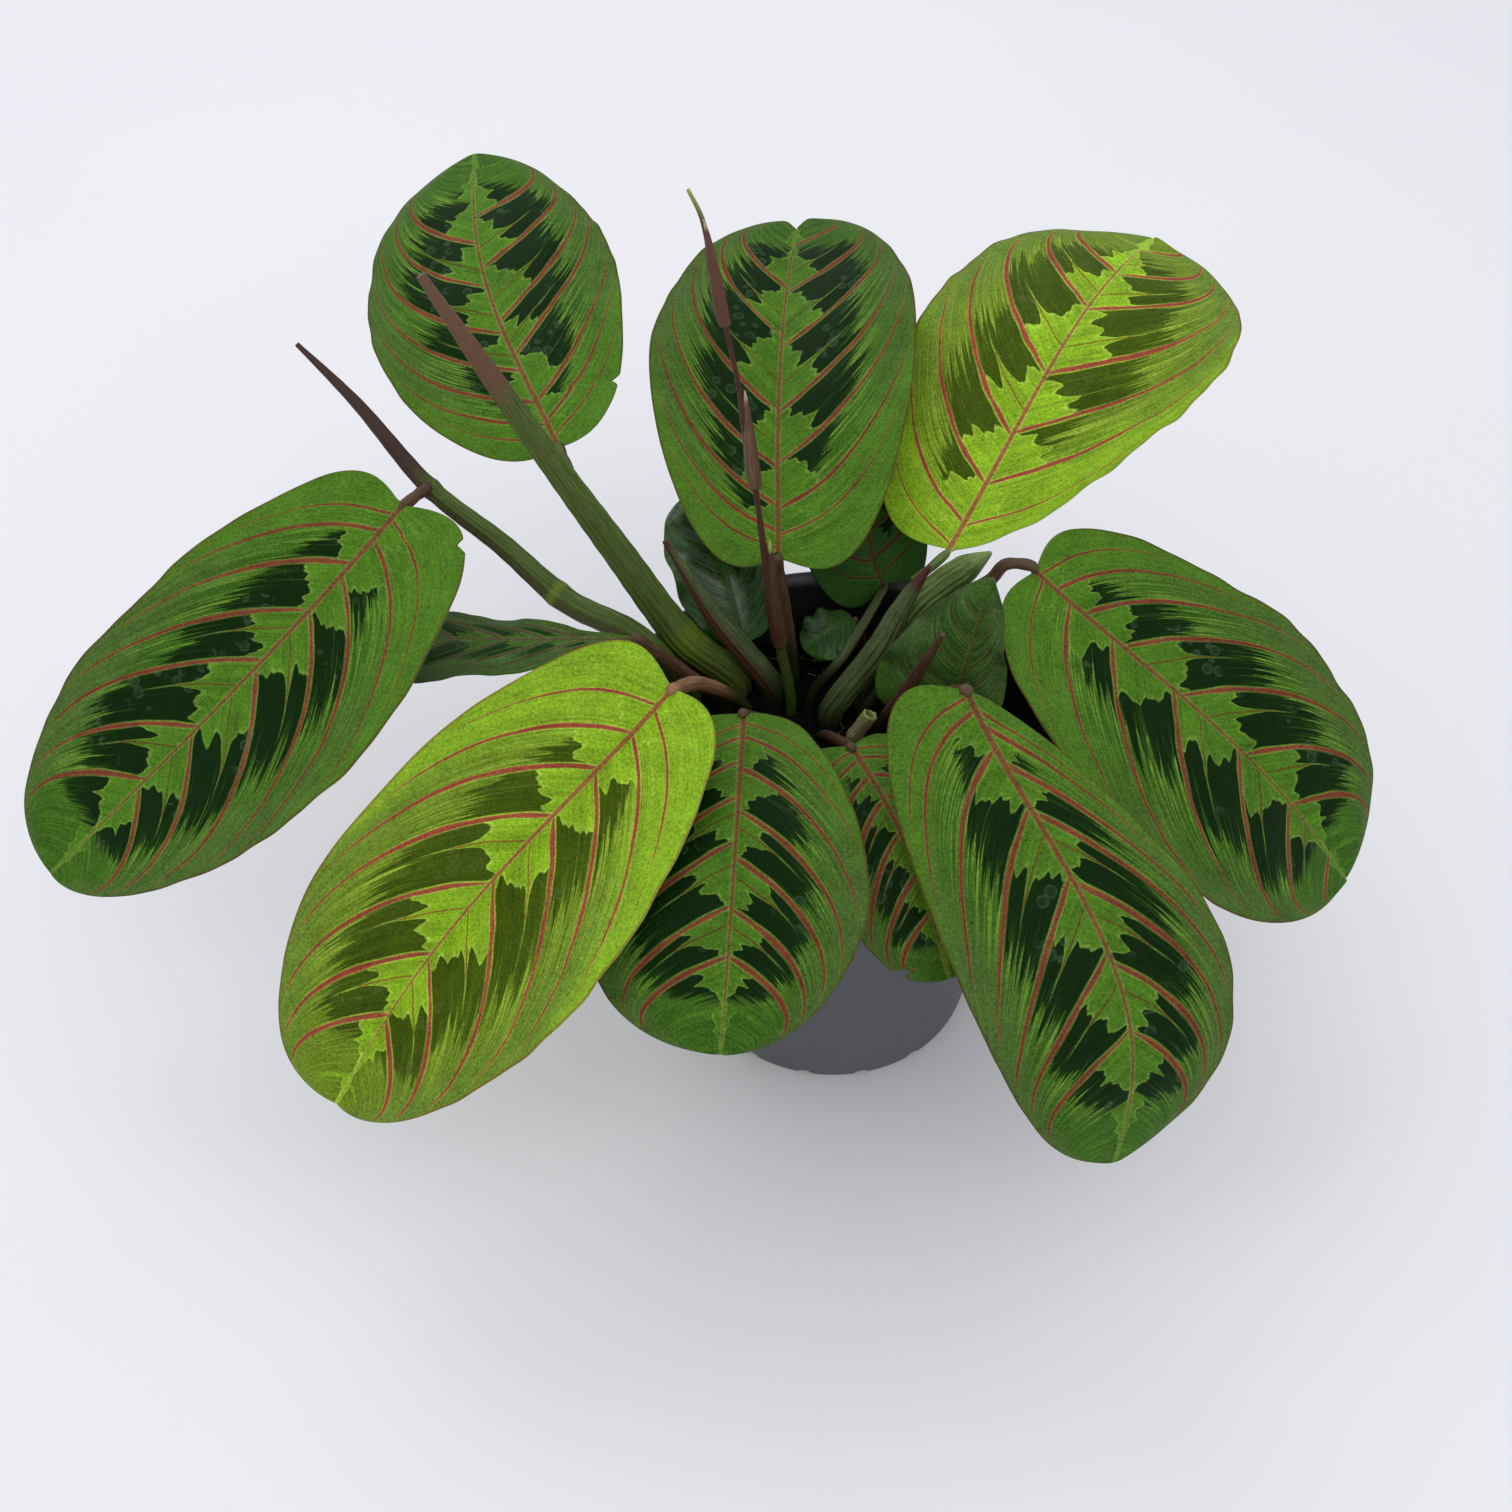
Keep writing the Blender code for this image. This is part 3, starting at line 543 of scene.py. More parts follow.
    under = g.mix(vein * 0.8, look["under"], look["vein"])
    under = g.mix(g.step(fine, 0.35, 0.7, 0.0, 0.35), under, look["outer"])
    roughness = leaf["gloss"] + (mottle - 0.5) * 0.25
    height = grain * 0.35 + fine * 0.5 - vein * 0.5
    return g.finish(g.mix(upper, under, g.colour), roughness, height, 0.6, 0.0003)


def build_leaves():
    for seed, (name, own) in enumerate(LEAVES.items()):
        build_leaf(name, {**PLAIN_LEAF, **own}, seed + 1)


ROOT_FLOOR, SOIL_LEVEL = 80.0, 95.0


def rooted(x, y, radius):
    """The straight start of a path in its hole in the soil."""
    return (x, y, ROOT_FLOOR, radius), (x, y, SOIL_LEVEL, radius)


STALKS = {
    "back_left": ((-70.8, 38.4, 152, 1.9), (-77.5, 58.7, 152.5, 1.8)),
    "back": (*rooted(-12, 33, 1.9), (-16.8, 36.3, 130.1, 1.6)),
    "back_right": ((21.5, 35.4, 125.6, 1.4), (25.8, 36.4, 129.2, 1.4), (29.6, 38.4, 132, 1.1)),
    "back_small": (*rooted(-7.5, 20.5, 1.5), (2.5, 24, 109, 1.5), (13.9, 50.2, 109.7, 1.4)),
    "glossy_small": (*rooted(-23, 36, 1.6), (-26, 34, 102.6, 1.4)),
    "soil_small": (*rooted(9, 42, 1.3), (5.8, 41.3, 105.8, 1.1)),
    "right": (*rooted(7, 14, 1.9), (19.5, 20, 112, 1.9), (33.8, 28, 124.4, 1.9),
        (40.6, 27.2, 131.6, 1.9), (44.2, 26.6, 137.2, 1.8), (50.8, 25.6, 137.3, 1.6)),
    "front_right": (*rooted(17, 2, 1.9), (21, -16, 126, 1.9), (26, -34.4, 145.8, 1.8)),
    "folded": ((30, 5.5, 80, 1.4), (30, 5.5, 92, 1.4), (30.8, 4.6, 96.9, 1.2)),
    "front": (*rooted(-20, 8, 1.7), (-26, -13.2, 119.1, 1.6)),
    "front_small": (*rooted(-5, 4, 1.6), (0.5, -25.2, 119.0, 1.5)),
    "front_left": (*rooted(-26, 16, 1.9), (-37, 2, 116, 2.2), (-43.6, -16.7, 130.7, 1.8)),
    "left": ((-113.5, 47.2, 147.2, 1.8), (-117.8, 38.2, 147.9, 1.6)),
    "left_edge": (*rooted(-32, 16, 1.9), (-43, 13, 111, 2.1), (-54.4, 10.2, 124.5, 1.6)),
}
SHOOTS = {
    "shoot_tall": (*rooted(-29, 28, 4.8), (-44.3, 28.6, 111, 4.8), (-60.5, 32.5, 137, 4.3),
        (-78, 35.8, 166.5, 3.4), (-91, 38, 190, 2.6), (-103, 38, 214, 1.2)),
    "shoot_low": (*rooted(-42, 20, 3.6), (-55, 20.5, 116.5, 3.6), (-76, 34, 119, 3.6),
        (-94, 43, 132, 3.1), (-113, 50, 146, 2.6), (-131, 60, 166, 1.7), (-146, 67, 180, 0.7)),
    "spear_left": (*rooted(-18, 24, 3.6), (-34, 30, 116, 3.0), (-48, 36, 138, 0.7)),
    "flower_stalk": (*rooted(-13, 19, 1.8), (-16, 21, 112, 1.7), (-19, 23, 128, 1.5),
        (-21.5, 25.5, 148, 1.0), (-23, 27, 160, 0.9), (-23.6, 27.3, 164, 1.5),
        (-26, 28.5, 181, 1.3), (-27, 29, 188, 0.8), (-30, 28.6, 205, 0.8), (-31, 28.5, 209, 1.3),
        (-33, 28.2, 221, 1.1), (-35, 28, 232, 0.7), (-38, 26, 240, 0.5)),
    "sheath_right": (*rooted(4.5, 24, 4.2), (20.8, 31, 118, 4.2), (28, 33.5, 124.5, 4.2),
        (34.5, 33.5, 130.5, 4.0), (40.6, 31.7, 137.2, 3.3)),
    "spear_right": (*rooted(-2, 14, 3.6), (10.3, 18, 113.7, 3.7), (14.9, 21, 122.5, 3.2),
        (19.5, 23, 131.9, 2.0), (23.4, 24, 138.5, 0.6)),
    "spear_front": (*rooted(12, 8, 2.0), (17, -7, 124, 1.9), (22.5, -16, 148, 0.6)),
    "cut_stub": ((3, 0, 80, 2.3), (3, 0, 95.5, 2.3), (8, 1, 106, 2.3)),
}
STUB_BORE, STUB_BORE_DEPTH, STUB_COLLAR, STUB_TURNS = 1.5, 9.0, 19.0, 40
INTO_SHOOT, BELOW_BASE = 1.2, 1.3
FINE_LINES = 62.8


def smooth_path(path, pieces):
    """Points along the same smooth curve as the part's own stalks follow, each with its radius."""
    points = [np.array(point, float) for point in path]
    first = 1 if path[0][2] == ROOT_FLOOR else 0
    dense = [points[0] + (0.0, 0.0, 0.3, 0.0)] if first else []
    for index in range(first, len(points) - 1):
        before, start, end = points[max(index - 1, 0)], points[index], points[index + 1]
        after = points[min(index + 2, len(points) - 1)]
        for t in np.arange(pieces) / pieces:
            square, cube = 2 * before - 5 * start + 4 * end - after, 3 * start - before - 3 * end + after
            dense.append(0.5 * (2 * start + (end - before) * t + square * t * t + cube * t**3))
    return np.array(dense + [points[-1]])


def even_path(path, step):
    """The smooth path again, with a point every step millimetres along it."""
    dense = smooth_path(path, 24)
    run = np.concatenate([[0.0], np.cumsum(np.linalg.norm(np.diff(dense[:, :3], axis=0), axis=1))])
    at = np.linspace(0.0, run[-1], max(int(run[-1] / step), 8) + 1)
    return np.stack([np.interp(at, run, dense[:, axis]) for axis in range(4)], -1), at


def rings(line, run, shape, around):
    """Rings of points about a line. The shape gives the radius factor from the share along and the angle."""
    tangent = unit(np.gradient(line[:, :3], axis=0))
    side = np.empty_like(tangent)
    reference = np.cross(UP, tangent[-1])
    reference = reference if np.linalg.norm(reference) > 0.1 else np.array((1.0, 0.0, 0.0))
    for index in range(len(line) - 1, -1, -1):
        reference = unit(reference - tangent[index] * (tangent[index] @ reference))
        side[index] = reference
    top = np.cross(tangent, side)
    angle = np.arange(around) / around * 2 * math.pi
    share = (run / run[-1])[:, None] + 0.0 * angle
    turn = angle + 0.0 * share
    size = line[:, 3][:, None] * shape(share, turn, run[:, None] + 0.0 * angle)
    out = top[:, None, :] * np.cos(turn)[..., None] + side[:, None, :] * np.sin(turn)[..., None]
    return line[:, None, :3] + out * size[..., None], share, turn


def ring_faces(count, around):
    """The faces between rings of points, with both ends closed."""
    faces = []
    for i in range(count - 1):
        for j in range(around):
            a, b = i * around + j, i * around + (j + 1) % around
            faces.append((a, b, b + around, a + around))
    return faces + [tuple(range(around - 1, -1, -1)), tuple(range((count - 1) * around, count * around))]


def stem_layers(share, turn, run, radius):
    """The coordinates that a stem's material reads: share along, way round, run and radius."""
    return {
        "stem": np.stack([share, np.cos(turn), np.sin(turn)], -1),
        "run": np.stack([run + 0 * turn, turn / TURN, radius + 0 * turn], -1),
    }


def stem(name, path, shape, material, node, around):
    """A stem along an even path, with its surface shaped in fine rings."""
    line, run = path
    points, share, turn = rings(line, run, shape, around)
    layers = stem_layers(share, turn, run[:, None], line[:, 3:])
    mesh_piece(name, points, ring_faces(len(line), around), material, node, layers)


def ribbed(ribs, depth, swell=(), tip=0.96, taper=1.0):
    """A shape with ribs that fade at the tip, soft swellings at the shares given and a tapered end."""
    def shape(share, turn, run):
        fade = np.clip((1.0 - share) * 6.0, 0.0, 1.0)
        ridges = depth * fade * (np.abs(np.cos(turn * ribs / 2.0)) - 0.6)
        size = tip + ridges + 0.012 * np.sin(run * 0.9 + turn * 2)
        for place, width, height in swell:
            size = size + height * np.exp(-(((share - place) / width) ** 2))
        return size * (1.0 - (1.0 - taper) * np.clip((share - 0.86) / 0.14, 0.0, 1.0) ** 1.6)
    return shape


def petiole(joint):
    """A leaf stalk: grooved below, with a thicker joint just below the blade and a waist before it."""
    def shape(share, turn, run):
        end = run[-1, 0] - run
        size = 0.93 + 0.03 * np.cos(turn * 9) + 0.02 * np.sin(run * 0.8 + turn)
        size = size + joint * np.exp(-((end / 5.0) ** 4)) - 0.10 * np.exp(-(((end - 7.5) / 1.4) ** 2))
        return size - np.exp(-(((turn - math.pi) / 0.5) ** 2)) * 0.05
    return shape


STEM_TONES = ("main", "light", "line", "tip", "foot", "flush")
STEM_LOOKS = {
    "green": ((42, 76, 10), (95, 140, 26), (12, 22, 4), (120, 62, 34), (55, 78, 10), (60, 24, 12)),
    "low": ((42, 76, 10), (95, 140, 26), (12, 22, 4), (45, 21, 15), (55, 78, 10), (50, 22, 12)),
    "spear": ((34, 60, 13), (95, 120, 45), (9, 18, 5), (55, 13, 10), (12, 18, 5), (58, 15, 10)),
    "sheath": ((60, 108, 16), (165, 225, 70), (12, 28, 5), (170, 245, 75), (12, 22, 5), (45, 80, 14)),
    "brown": ((46, 23, 12), (110, 60, 32), (15, 8, 5), (85, 55, 25), (18, 22, 7), (62, 27, 17)),
    "flower": ((46, 20, 12), (95, 52, 28), (15, 7, 5), (300, 340, 90), (36, 62, 11), (56, 18, 12)),
    "bract": ((85, 45, 26), (165, 105, 62), (28, 14, 9), (380, 330, 190), (90, 75, 34), (100, 40, 26)),
    "stub": ((130, 115, 42), (240, 215, 100), (45, 38, 15), (300, 330, 110), (90, 72, 34), (100, 80, 32)),
    "peach": ((160, 80, 36), (300, 170, 90), (50, 24, 12), (280, 140, 70), (34, 34, 10), (150, 62, 36)),
}


def stem_material(name, look, tip_from, foot_to, flush_side=0.0, lines=1.0, node=None, roughness=0.42):
    """Stem skin with fine lengthwise lines, a redder side, a foot and a tip of other colours."""
    look = named_tones(STEM_TONES, STEM_LOOKS[look])
    g = Graph(f"skin_{name}", roughness, 0.2)
    share, cosine, sine = g.attribute("stem")
    run, turn, radius = g.attribute("run")
    wide = radius * 2.2
    streak = g.noise(g.vector(cosine * wide, sine * wide, run * 0.05), 1.6, 3.0, 0.65)
    fleck = g.noise(g.vector(cosine, sine, run * 0.35), 3.0, 3.0, 0.6)
    grain = g.noise(g.place(), 2400.0, 2.0, 0.6)
    line = abs(g.math("SINE", (turn + fleck * 0.02) * FINE_LINES))
    g.colour = g.mix(g.step(streak, 0.36, 0.66), look["main"], look["light"])
    g.paint(g.step(line, 0.0, 0.34, 0.75, 0.0) * lines, look["line"])
    redder = g.step(sine + (streak - 0.5), flush_side, flush_side + 0.5)
    g.paint(redder, look["flush"])
    if node:
        place, width, tone = node
        g.paint(g.step(abs(share - place), width * 0.2, width, 0.7, 0.0), tone)
    ragged = share + (streak - 0.5) * 0.10
    g.paint(g.step(ragged, tip_from - 0.03, tip_from + 0.05), look["tip"])
    g.paint(g.step(ragged, foot_to - 0.12, foot_to + 0.10, 1.0, 0.0), look["foot"])
    g.shade(0.35 + (fleck * 0.60 + grain * 0.70))
    return g.finish(g.colour, roughness - 0.1 + fleck * 0.25, streak * 0.6 + grain * 0.4, 0.5, 0.0003)


PETIOLES = {
    "back_left": ("green", 0.3), "back": ("brown", 0.3), "back_right": ("sheath", 0.3),
    "back_small": ("spear", 0.2), "glossy_small": ("green", 0.2), "soil_small": ("green", 0.2),
    "right": ("brown", 0.2), "front_right": ("brown", 0.2), "folded": ("brown", 0.2),
    "front": ("brown", 0.2), "front_small": ("brown", 0.2), "front_left": ("peach", 0.25),
    "left": ("brown", 0.2), "left_edge": ("brown", 0.2),
}


def joined(name, path):
    """The stalk's path carried on, thinner, into its leaf's base, and back into the shoot that bears it."""
    path = [np.array(point, float) for point in path]
    if path[0][2] != ROOT_FLOOR:
        step = path[0][:3] - path[1][:3]
        path.insert(0, np.append(path[0][:3] + INTO_SHOOT * step / np.linalg.norm(step), path[0][3]))
    base = np.array(LEAVES[name]["base"], float) - UP * BELOW_BASE
    return path + [np.append(base, 0.4 * path[-1][3])]


def build_petioles():
    for name, (look, joint) in PETIOLES.items():
        path = joined(name, STALKS[name])
        foot = 0.45 if path[0][2] == ROOT_FLOOR else 0.0
        skin = stem_material(f"stalk_{name}", look, 0.93, foot, flush_side=0.1, lines=0.6)
        shape = petiole(joint * 0.3)
        stem(f"fine_stalk_{name}", even_path(path, 0.6), shape, skin, f"stalk_{name}", 32)


BRACTS = {
    "upper": dict(foot=206.0, point=233.0, wide=1.5, lean=0.3, look="bract"),
    "middle": dict(foot=161.0, point=188.5, wide=1.7, lean=1.3, look="bract"),
    "lower": dict(foot=113.0, point=146.5, wide=2.1, lean=1.9, look="flower"),
}


def creased(share, turn, radius):
    """The shape of a bract, with fine creases along it."""
    return 1.0 + 0.05 * np.cos(9 * turn)


def build_bracts():
    """Slender pointed bracts that clasp the flower stalk from each of its joints up."""
    line, _ = even_path(SHOOTS["flower_stalk"], 0.5)
    for name, own in BRACTS.items():
        part = line[(line[:, 2] > own["foot"]) & (line[:, 2] < own["point"])].copy()
        share = np.linspace(0.0, 1.0, len(part))
        part[:, 3] = 0.15 + own["wide"] * np.sin(math.pi * (0.12 + 0.88 * share) ** 0.6) ** 0.8
        part[:, 0] += own["lean"] * share**1.5
        part[:, 1] -= 0.4 * share
        path = part, share * (own["point"] - own["foot"])
        skin = stem_material(f"bract_{name}", own["look"], 0.90, 0.0, flush_side=0.2)
        stem(f"bract_{name}", path, creased, skin, "flower_stalk", 36)


SHOOT_LOOKS = {
    "shoot_tall": dict(look="green", ribs=15, depth=0.10, swell=((0.235, 0.035, 0.10), (0.0, 0.06, 0.02)),
        tip_from=0.76, foot=0.13, node=(0.225, 0.05, (0.110, 0.160, 0.014)), flush=0.85),
    "shoot_low": dict(look="low", ribs=13, depth=0.09, swell=((0.42, 0.012, 0.12), (0.69, 0.010, 0.16)),
        tip_from=0.70, foot=0.12, node=(0.42, 0.014, (0.13, 0.19, 0.016)), flush=0.70),
    "spear_left": dict(look="spear", ribs=11, depth=0.11, tip_from=0.94, foot=0.28, flush=0.6),
    "sheath_right": dict(look="sheath", ribs=13, depth=0.12, tip_from=0.93, foot=0.22, flush=0.9,
        taper=0.18),
    "spear_right": dict(look="spear", ribs=11, depth=0.12, tip_from=0.88, foot=0.25, flush=0.6),
    "spear_front": dict(look="brown", ribs=9, depth=0.06, swell=((0.6, 0.02, 0.08),), tip_from=0.97,
        foot=0.3, flush=-0.4),
}


def build_shoots():
    for name, own in SHOOT_LOOKS.items():
        skin = stem_material(
            name, own["look"], own["tip_from"], own["foot"], own["flush"], node=own.get("node"))
        shape = ribbed(own["ribs"], own["depth"], own.get("swell", ()), taper=own.get("taper", 1.0))
        stem(f"fine_{name}", even_path(SHOOTS[name], 0.5), shape, skin, name, own["ribs"] * 6)
    skin = stem_material("flower_stalk", "flower", 0.955, 0.24, -0.2, lines=0.5)
    path = even_path(SHOOTS["flower_stalk"], 0.5)
    stem("fine_flower_stalk", path, ribbed(7, 0.05, tip=0.86), skin, "flower_stalk", 36)


def build_stub():
    """The cut stub: a dry tube with a collar below, a rough rim, and a bore that can be looked into."""
    line, run = even_path(SHOOTS["cut_stub"], 0.4)

    def skin_shape(share, turn, at):
        collar = 0.10 * np.exp(-(((at - STUB_COLLAR) / 1.2) ** 2))
        return 0.93 + collar + 0.025 * np.cos(turn * 12) + 0.02 * np.sin(at * 1.1)

    def bore_shape(share, turn, at):
        return 0.97 + 0.03 * np.cos(turn * 8)

    outer, share, turn = rings(line, run, skin_shape, STUB_TURNS)
    rough = 0.25 * np.sin(turn[-1] * 3) + 0.12 * np.cos(turn[-1] * 7)
    outer[-1] += unit(line[-1, :3] - line[-2, :3]) * rough[:, None]
    inside = run > run[-1] - STUB_BORE_DEPTH
    bore = line[inside].copy()
    bore[:, 3] = STUB_BORE
    hole = rings(bore, run[inside] - run[inside][0] + 0.1, bore_shape, STUB_TURNS)[0][::-1]
    points = np.concatenate([outer, hole])
    ends = np.concatenate([share, 1.0 + 0.0 * hole[..., 0]])
    turns = np.concatenate([turn, np.tile(turn[0], (len(bore), 1))])
    layers = stem_layers(ends, turns, np.concatenate([run, run[inside][::-1]])[:, None], 2.0)
    skin = stem_material("cut_stub", "stub", 0.975, 0.5, 0.6, lines=0.5, roughness=0.6)
    faces = ring_faces(len(points), STUB_TURNS)
    mesh_piece("fine_cut_stub", points, faces, skin, "cut_stub", layers)


POT_OUTER = (
    (0.0, 1.5), (29.4, 1.5), (30.4, 2.0), (31.2, 4.2), (31.8, 4.7), (41.2, 4.7), (41.8, 5.4), (42.2, 10.0),
    (44.6, 25.0), (47.7, 45.0), (50.9, 65.0), (54.1, 85.0), (57.2, 104.0), (57.5, 107.6), (57.9, 108.9),
    (58.6, 109.7), (59.5, 110.0), (60.3, 109.6), (60.8, 108.8), (61.0, 107.6), (61.0, 105.9), (60.7, 105.2),
    (60.2, 104.9), (59.4, 104.75), (58.9, 104.3), (58.7, 103.4), (55.9, 85.0), (52.6, 63.5), (52.2, 62.9),
    (51.9, 60.0), (48.7, 38.0), (45.6, 17.5), (43.4, 3.0), (43.0, 0.9), (42.5, 0.2), (41.9, 0.05),
    (41.4, 0.4), (40.9, 2.4), (40.3, 3.1), (32.6, 3.1), (31.8, 2.6), (30.8, 0.5), (30.2, 0.1), (0.0, 0.1),
)
POT_TURNS = 288
POT_NOTCHES, NOTCH_RADIUS, NOTCH_CIRCLE, NOTCH_DEPTH = 16, 2.4, 42.5, 8.0
DRAINS, DRAIN_RADIUS, DRAIN_CIRCLE, DRAIN_DEPTH, DRAIN_HEIGHT = 6, 3.6, 36.5, 6.0, 4.0
SHARP_ANGLE = 38.0
WALL_RADIUS, WALL_FOOT, WALL_SLOPE = 0.0419, 0.008, 0.1601


def build_pot():
    """The moulded pot: rolled rim, a faint step half way up, a notched foot ring and drain holes."""
    bm = bmesh.new()
    grid = []
    for radius, height in POT_OUTER:
        row = []
        for turn in range(POT_TURNS if radius else 1):
            angle = TURN * turn / POT_TURNS
            x, y = radius * math.cos(angle), radius * math.sin(angle)
            row.append(bm.verts.new((x * MM, y * MM, height * MM)))
        grid.append(row)
    for above, below in zip(grid, grid[1:]):
        for turn in range(POT_TURNS):
            after = (turn + 1) % POT_TURNS
            corners = [above[turn % len(above)], above[after % len(above)], below[after % len(below)],
                       below[turn % len(below)]]
            bm.faces.new(list(dict.fromkeys(corners)))
    bmesh.ops.recalc_face_normals(bm, faces=bm.faces)
    pot = new_object("fine_pot", mesh_from(bm, "fine_pot", pot_material()))
    cutters = bmesh.new()
    for index in range(POT_NOTCHES):
        angle = TURN * (index + 0.5) / POT_NOTCHES
        out = Vector((math.cos(angle), math.sin(angle), 0.0))
        place = out.to_track_quat("Z", "Y").to_matrix().to_4x4()
        place.translation = out * NOTCH_CIRCLE * MM
        cylinder(cutters, NOTCH_RADIUS, NOTCH_DEPTH, place)
    for index in range(DRAINS):
        angle = TURN * index / DRAINS
        centre = Vector((math.cos(angle) * DRAIN_CIRCLE, math.sin(angle) * DRAIN_CIRCLE, DRAIN_HEIGHT))
        cylinder(cutters, DRAIN_RADIUS, DRAIN_DEPTH, Matrix.Translation(centre * MM))
    cutter = new_object("pot_cutters", mesh_from(cutters, "pot_cutters"))
    boolean = pot.modifiers.new("cuts", "BOOLEAN")
    boolean.operation = "DIFFERENCE"
    boolean.solver = "EXACT"
    boolean.object = cutter
    bpy.context.view_layer.update()
    shaped = bpy.data.meshes.new_from_object(pot.evaluated_get(bpy.context.evaluated_depsgraph_get()))
    pot.modifiers.clear()
    pot.data = shaped
    bpy.data.objects.remove(cutter, do_unlink=True)
    shaped.polygons.foreach_set("use_smooth", np.ones(len(shaped.polygons), bool))
    shaped.set_sharp_from_angle(angle=math.radians(SHARP_ANGLE))
    stand_for(pot, "pot")


def cylinder(bm, radius, depth, place):
    bmesh.ops.create_cone(bm, cap_ends=True, segments=32, radius1=radius * MM, radius2=radius * MM,
                          depth=depth * MM, matrix=place)


def pot_material():
    """Matt blue-grey plastic with a moulded grain, faint lines, scuffs, dust and an inner wall painted
    near-black with soil dust and painted shade.
    """
    g = Graph("pot_plastic", 0.45, 0.25)
    place = g.place()
    x, y, z = g.parts(place)
    radius = g.math("SQRT", x * x + y * y)
    grain = g.noise(place, 3200.0, 2.0, 0.7)
    cloud = g.noise(place, 35.0, 3.0, 0.6)
    drag = g.noise(g.vector(x * 60.0, y * 60.0, z * 900.0), 1.0, 2.0, 0.6)
    scratch = g.noise(g.vector(x * 900.0, y * 900.0, z * 90.0), 1.0, 3.0, 0.75, 0.6)
    g.colour = g.mix(cloud, (0.066, 0.069, 0.080), (0.088, 0.091, 0.103))
    g.paint(g.step(drag, 0.35, 0.7, 0.0, 0.25), (0.105, 0.107, 0.118))
    g.paint(g.step(scratch, 0.66, 0.74, 0.0, 0.35), (0.15, 0.15, 0.16))
    dust = g.step(grain, 0.45, 0.75) * g.step(z, 0.0, 0.030, 0.35, 0.05)
    g.paint(dust, (0.20, 0.18, 0.15))
    wall = (z - WALL_FOOT) * WALL_SLOPE + WALL_RADIUS
    # The inner wall is painted near-black: partly soil dust, partly painted shade for the dark inside of the
    # pot.
    inner = g.step(wall - radius, -0.0008, -0.0004) * g.step(z, 0.1060, 0.1085, 1.0, 0.0)
    soil_and_shade = g.step(g.noise(place, 160.0, 3.0, 0.7), 0.35, 0.6)
    soil_and_shade = g.mix(soil_and_shade, (0.0035, 0.0034, 0.0035), (0.0080, 0.0080, 0.0085))
    g.paint(inner * 0.95, soil_and_shade)
    return g.finish(g.colour, 0.34 + cloud * 0.25, grain * 0.6 + drag * 0.4, 0.35, 0.0002)


SOIL_TOP = ((0.0, 93.0), (36.0, 92.4), (45.0, 91.4), (56.0, 90.2))
SOIL_EDGE, SOIL_GAP, SOIL_TOE = 90.0, 0.35, 9.0
SOIL_FOOT = ((40.8, 5.0), (31.2, 5.0), (29.2, 1.8))
SOIL_STEPS, SOIL_TURNS = 110, 256
HOLLOW_DEPTH, HOLLOW_WIDTH = 2.2, 1.6
CRUMBS, FIBRES, BEADS = 2600, 130, 60
CRUMB_SIZES, BEAD_SIZES = (0.35, 1.1), (0.25, 0.55)
BIG_CRUMB, BIG_CRUMB_EVERY = 1.7, 17
SOIL_SEED = 41
INNER_WALL = (8.0, 41.9), (104.8, 57.4)
CRUMB_REACH = 53.0
FIBRE_STEP = 0.7


def ground(x, y):
    """How far the soil's top stands above its turned profile at this place."""
    return 0.9 * math.sin(0.13 * x + 0.6) * math.cos(0.11 * y - 0.4) + 0.6 * math.sin(0.29 * y + 0.21 * x)


def wall_radius(height):
    """The pot's inner radius at this height."""
    (low, narrow), (high, wide) = INNER_WALL
    return narrow + (wide - narrow) * (height - low) / (high - low)


def soil_height(x, y):
    base = float(np.interp(math.hypot(x, y), *zip(*SOIL_TOP)))
    rough = noise.noise(Vector((x, y, 0.0)) * 0.35) * 0.9 + noise.noise(Vector((x, y, 7.0)) * 1.1) * 0.35
    return base + ground(x, y) + rough - 0.5


ROOTS = [(path[0][0], path[0][1], path[0][3]) for path in {**STALKS, **SHOOTS}.values()
         if path[0][2] == ROOT_FLOOR]


def from_roots(x, y):
    return min(math.hypot(x - rx, y - ry) - rr for rx, ry, rr in ROOTS)


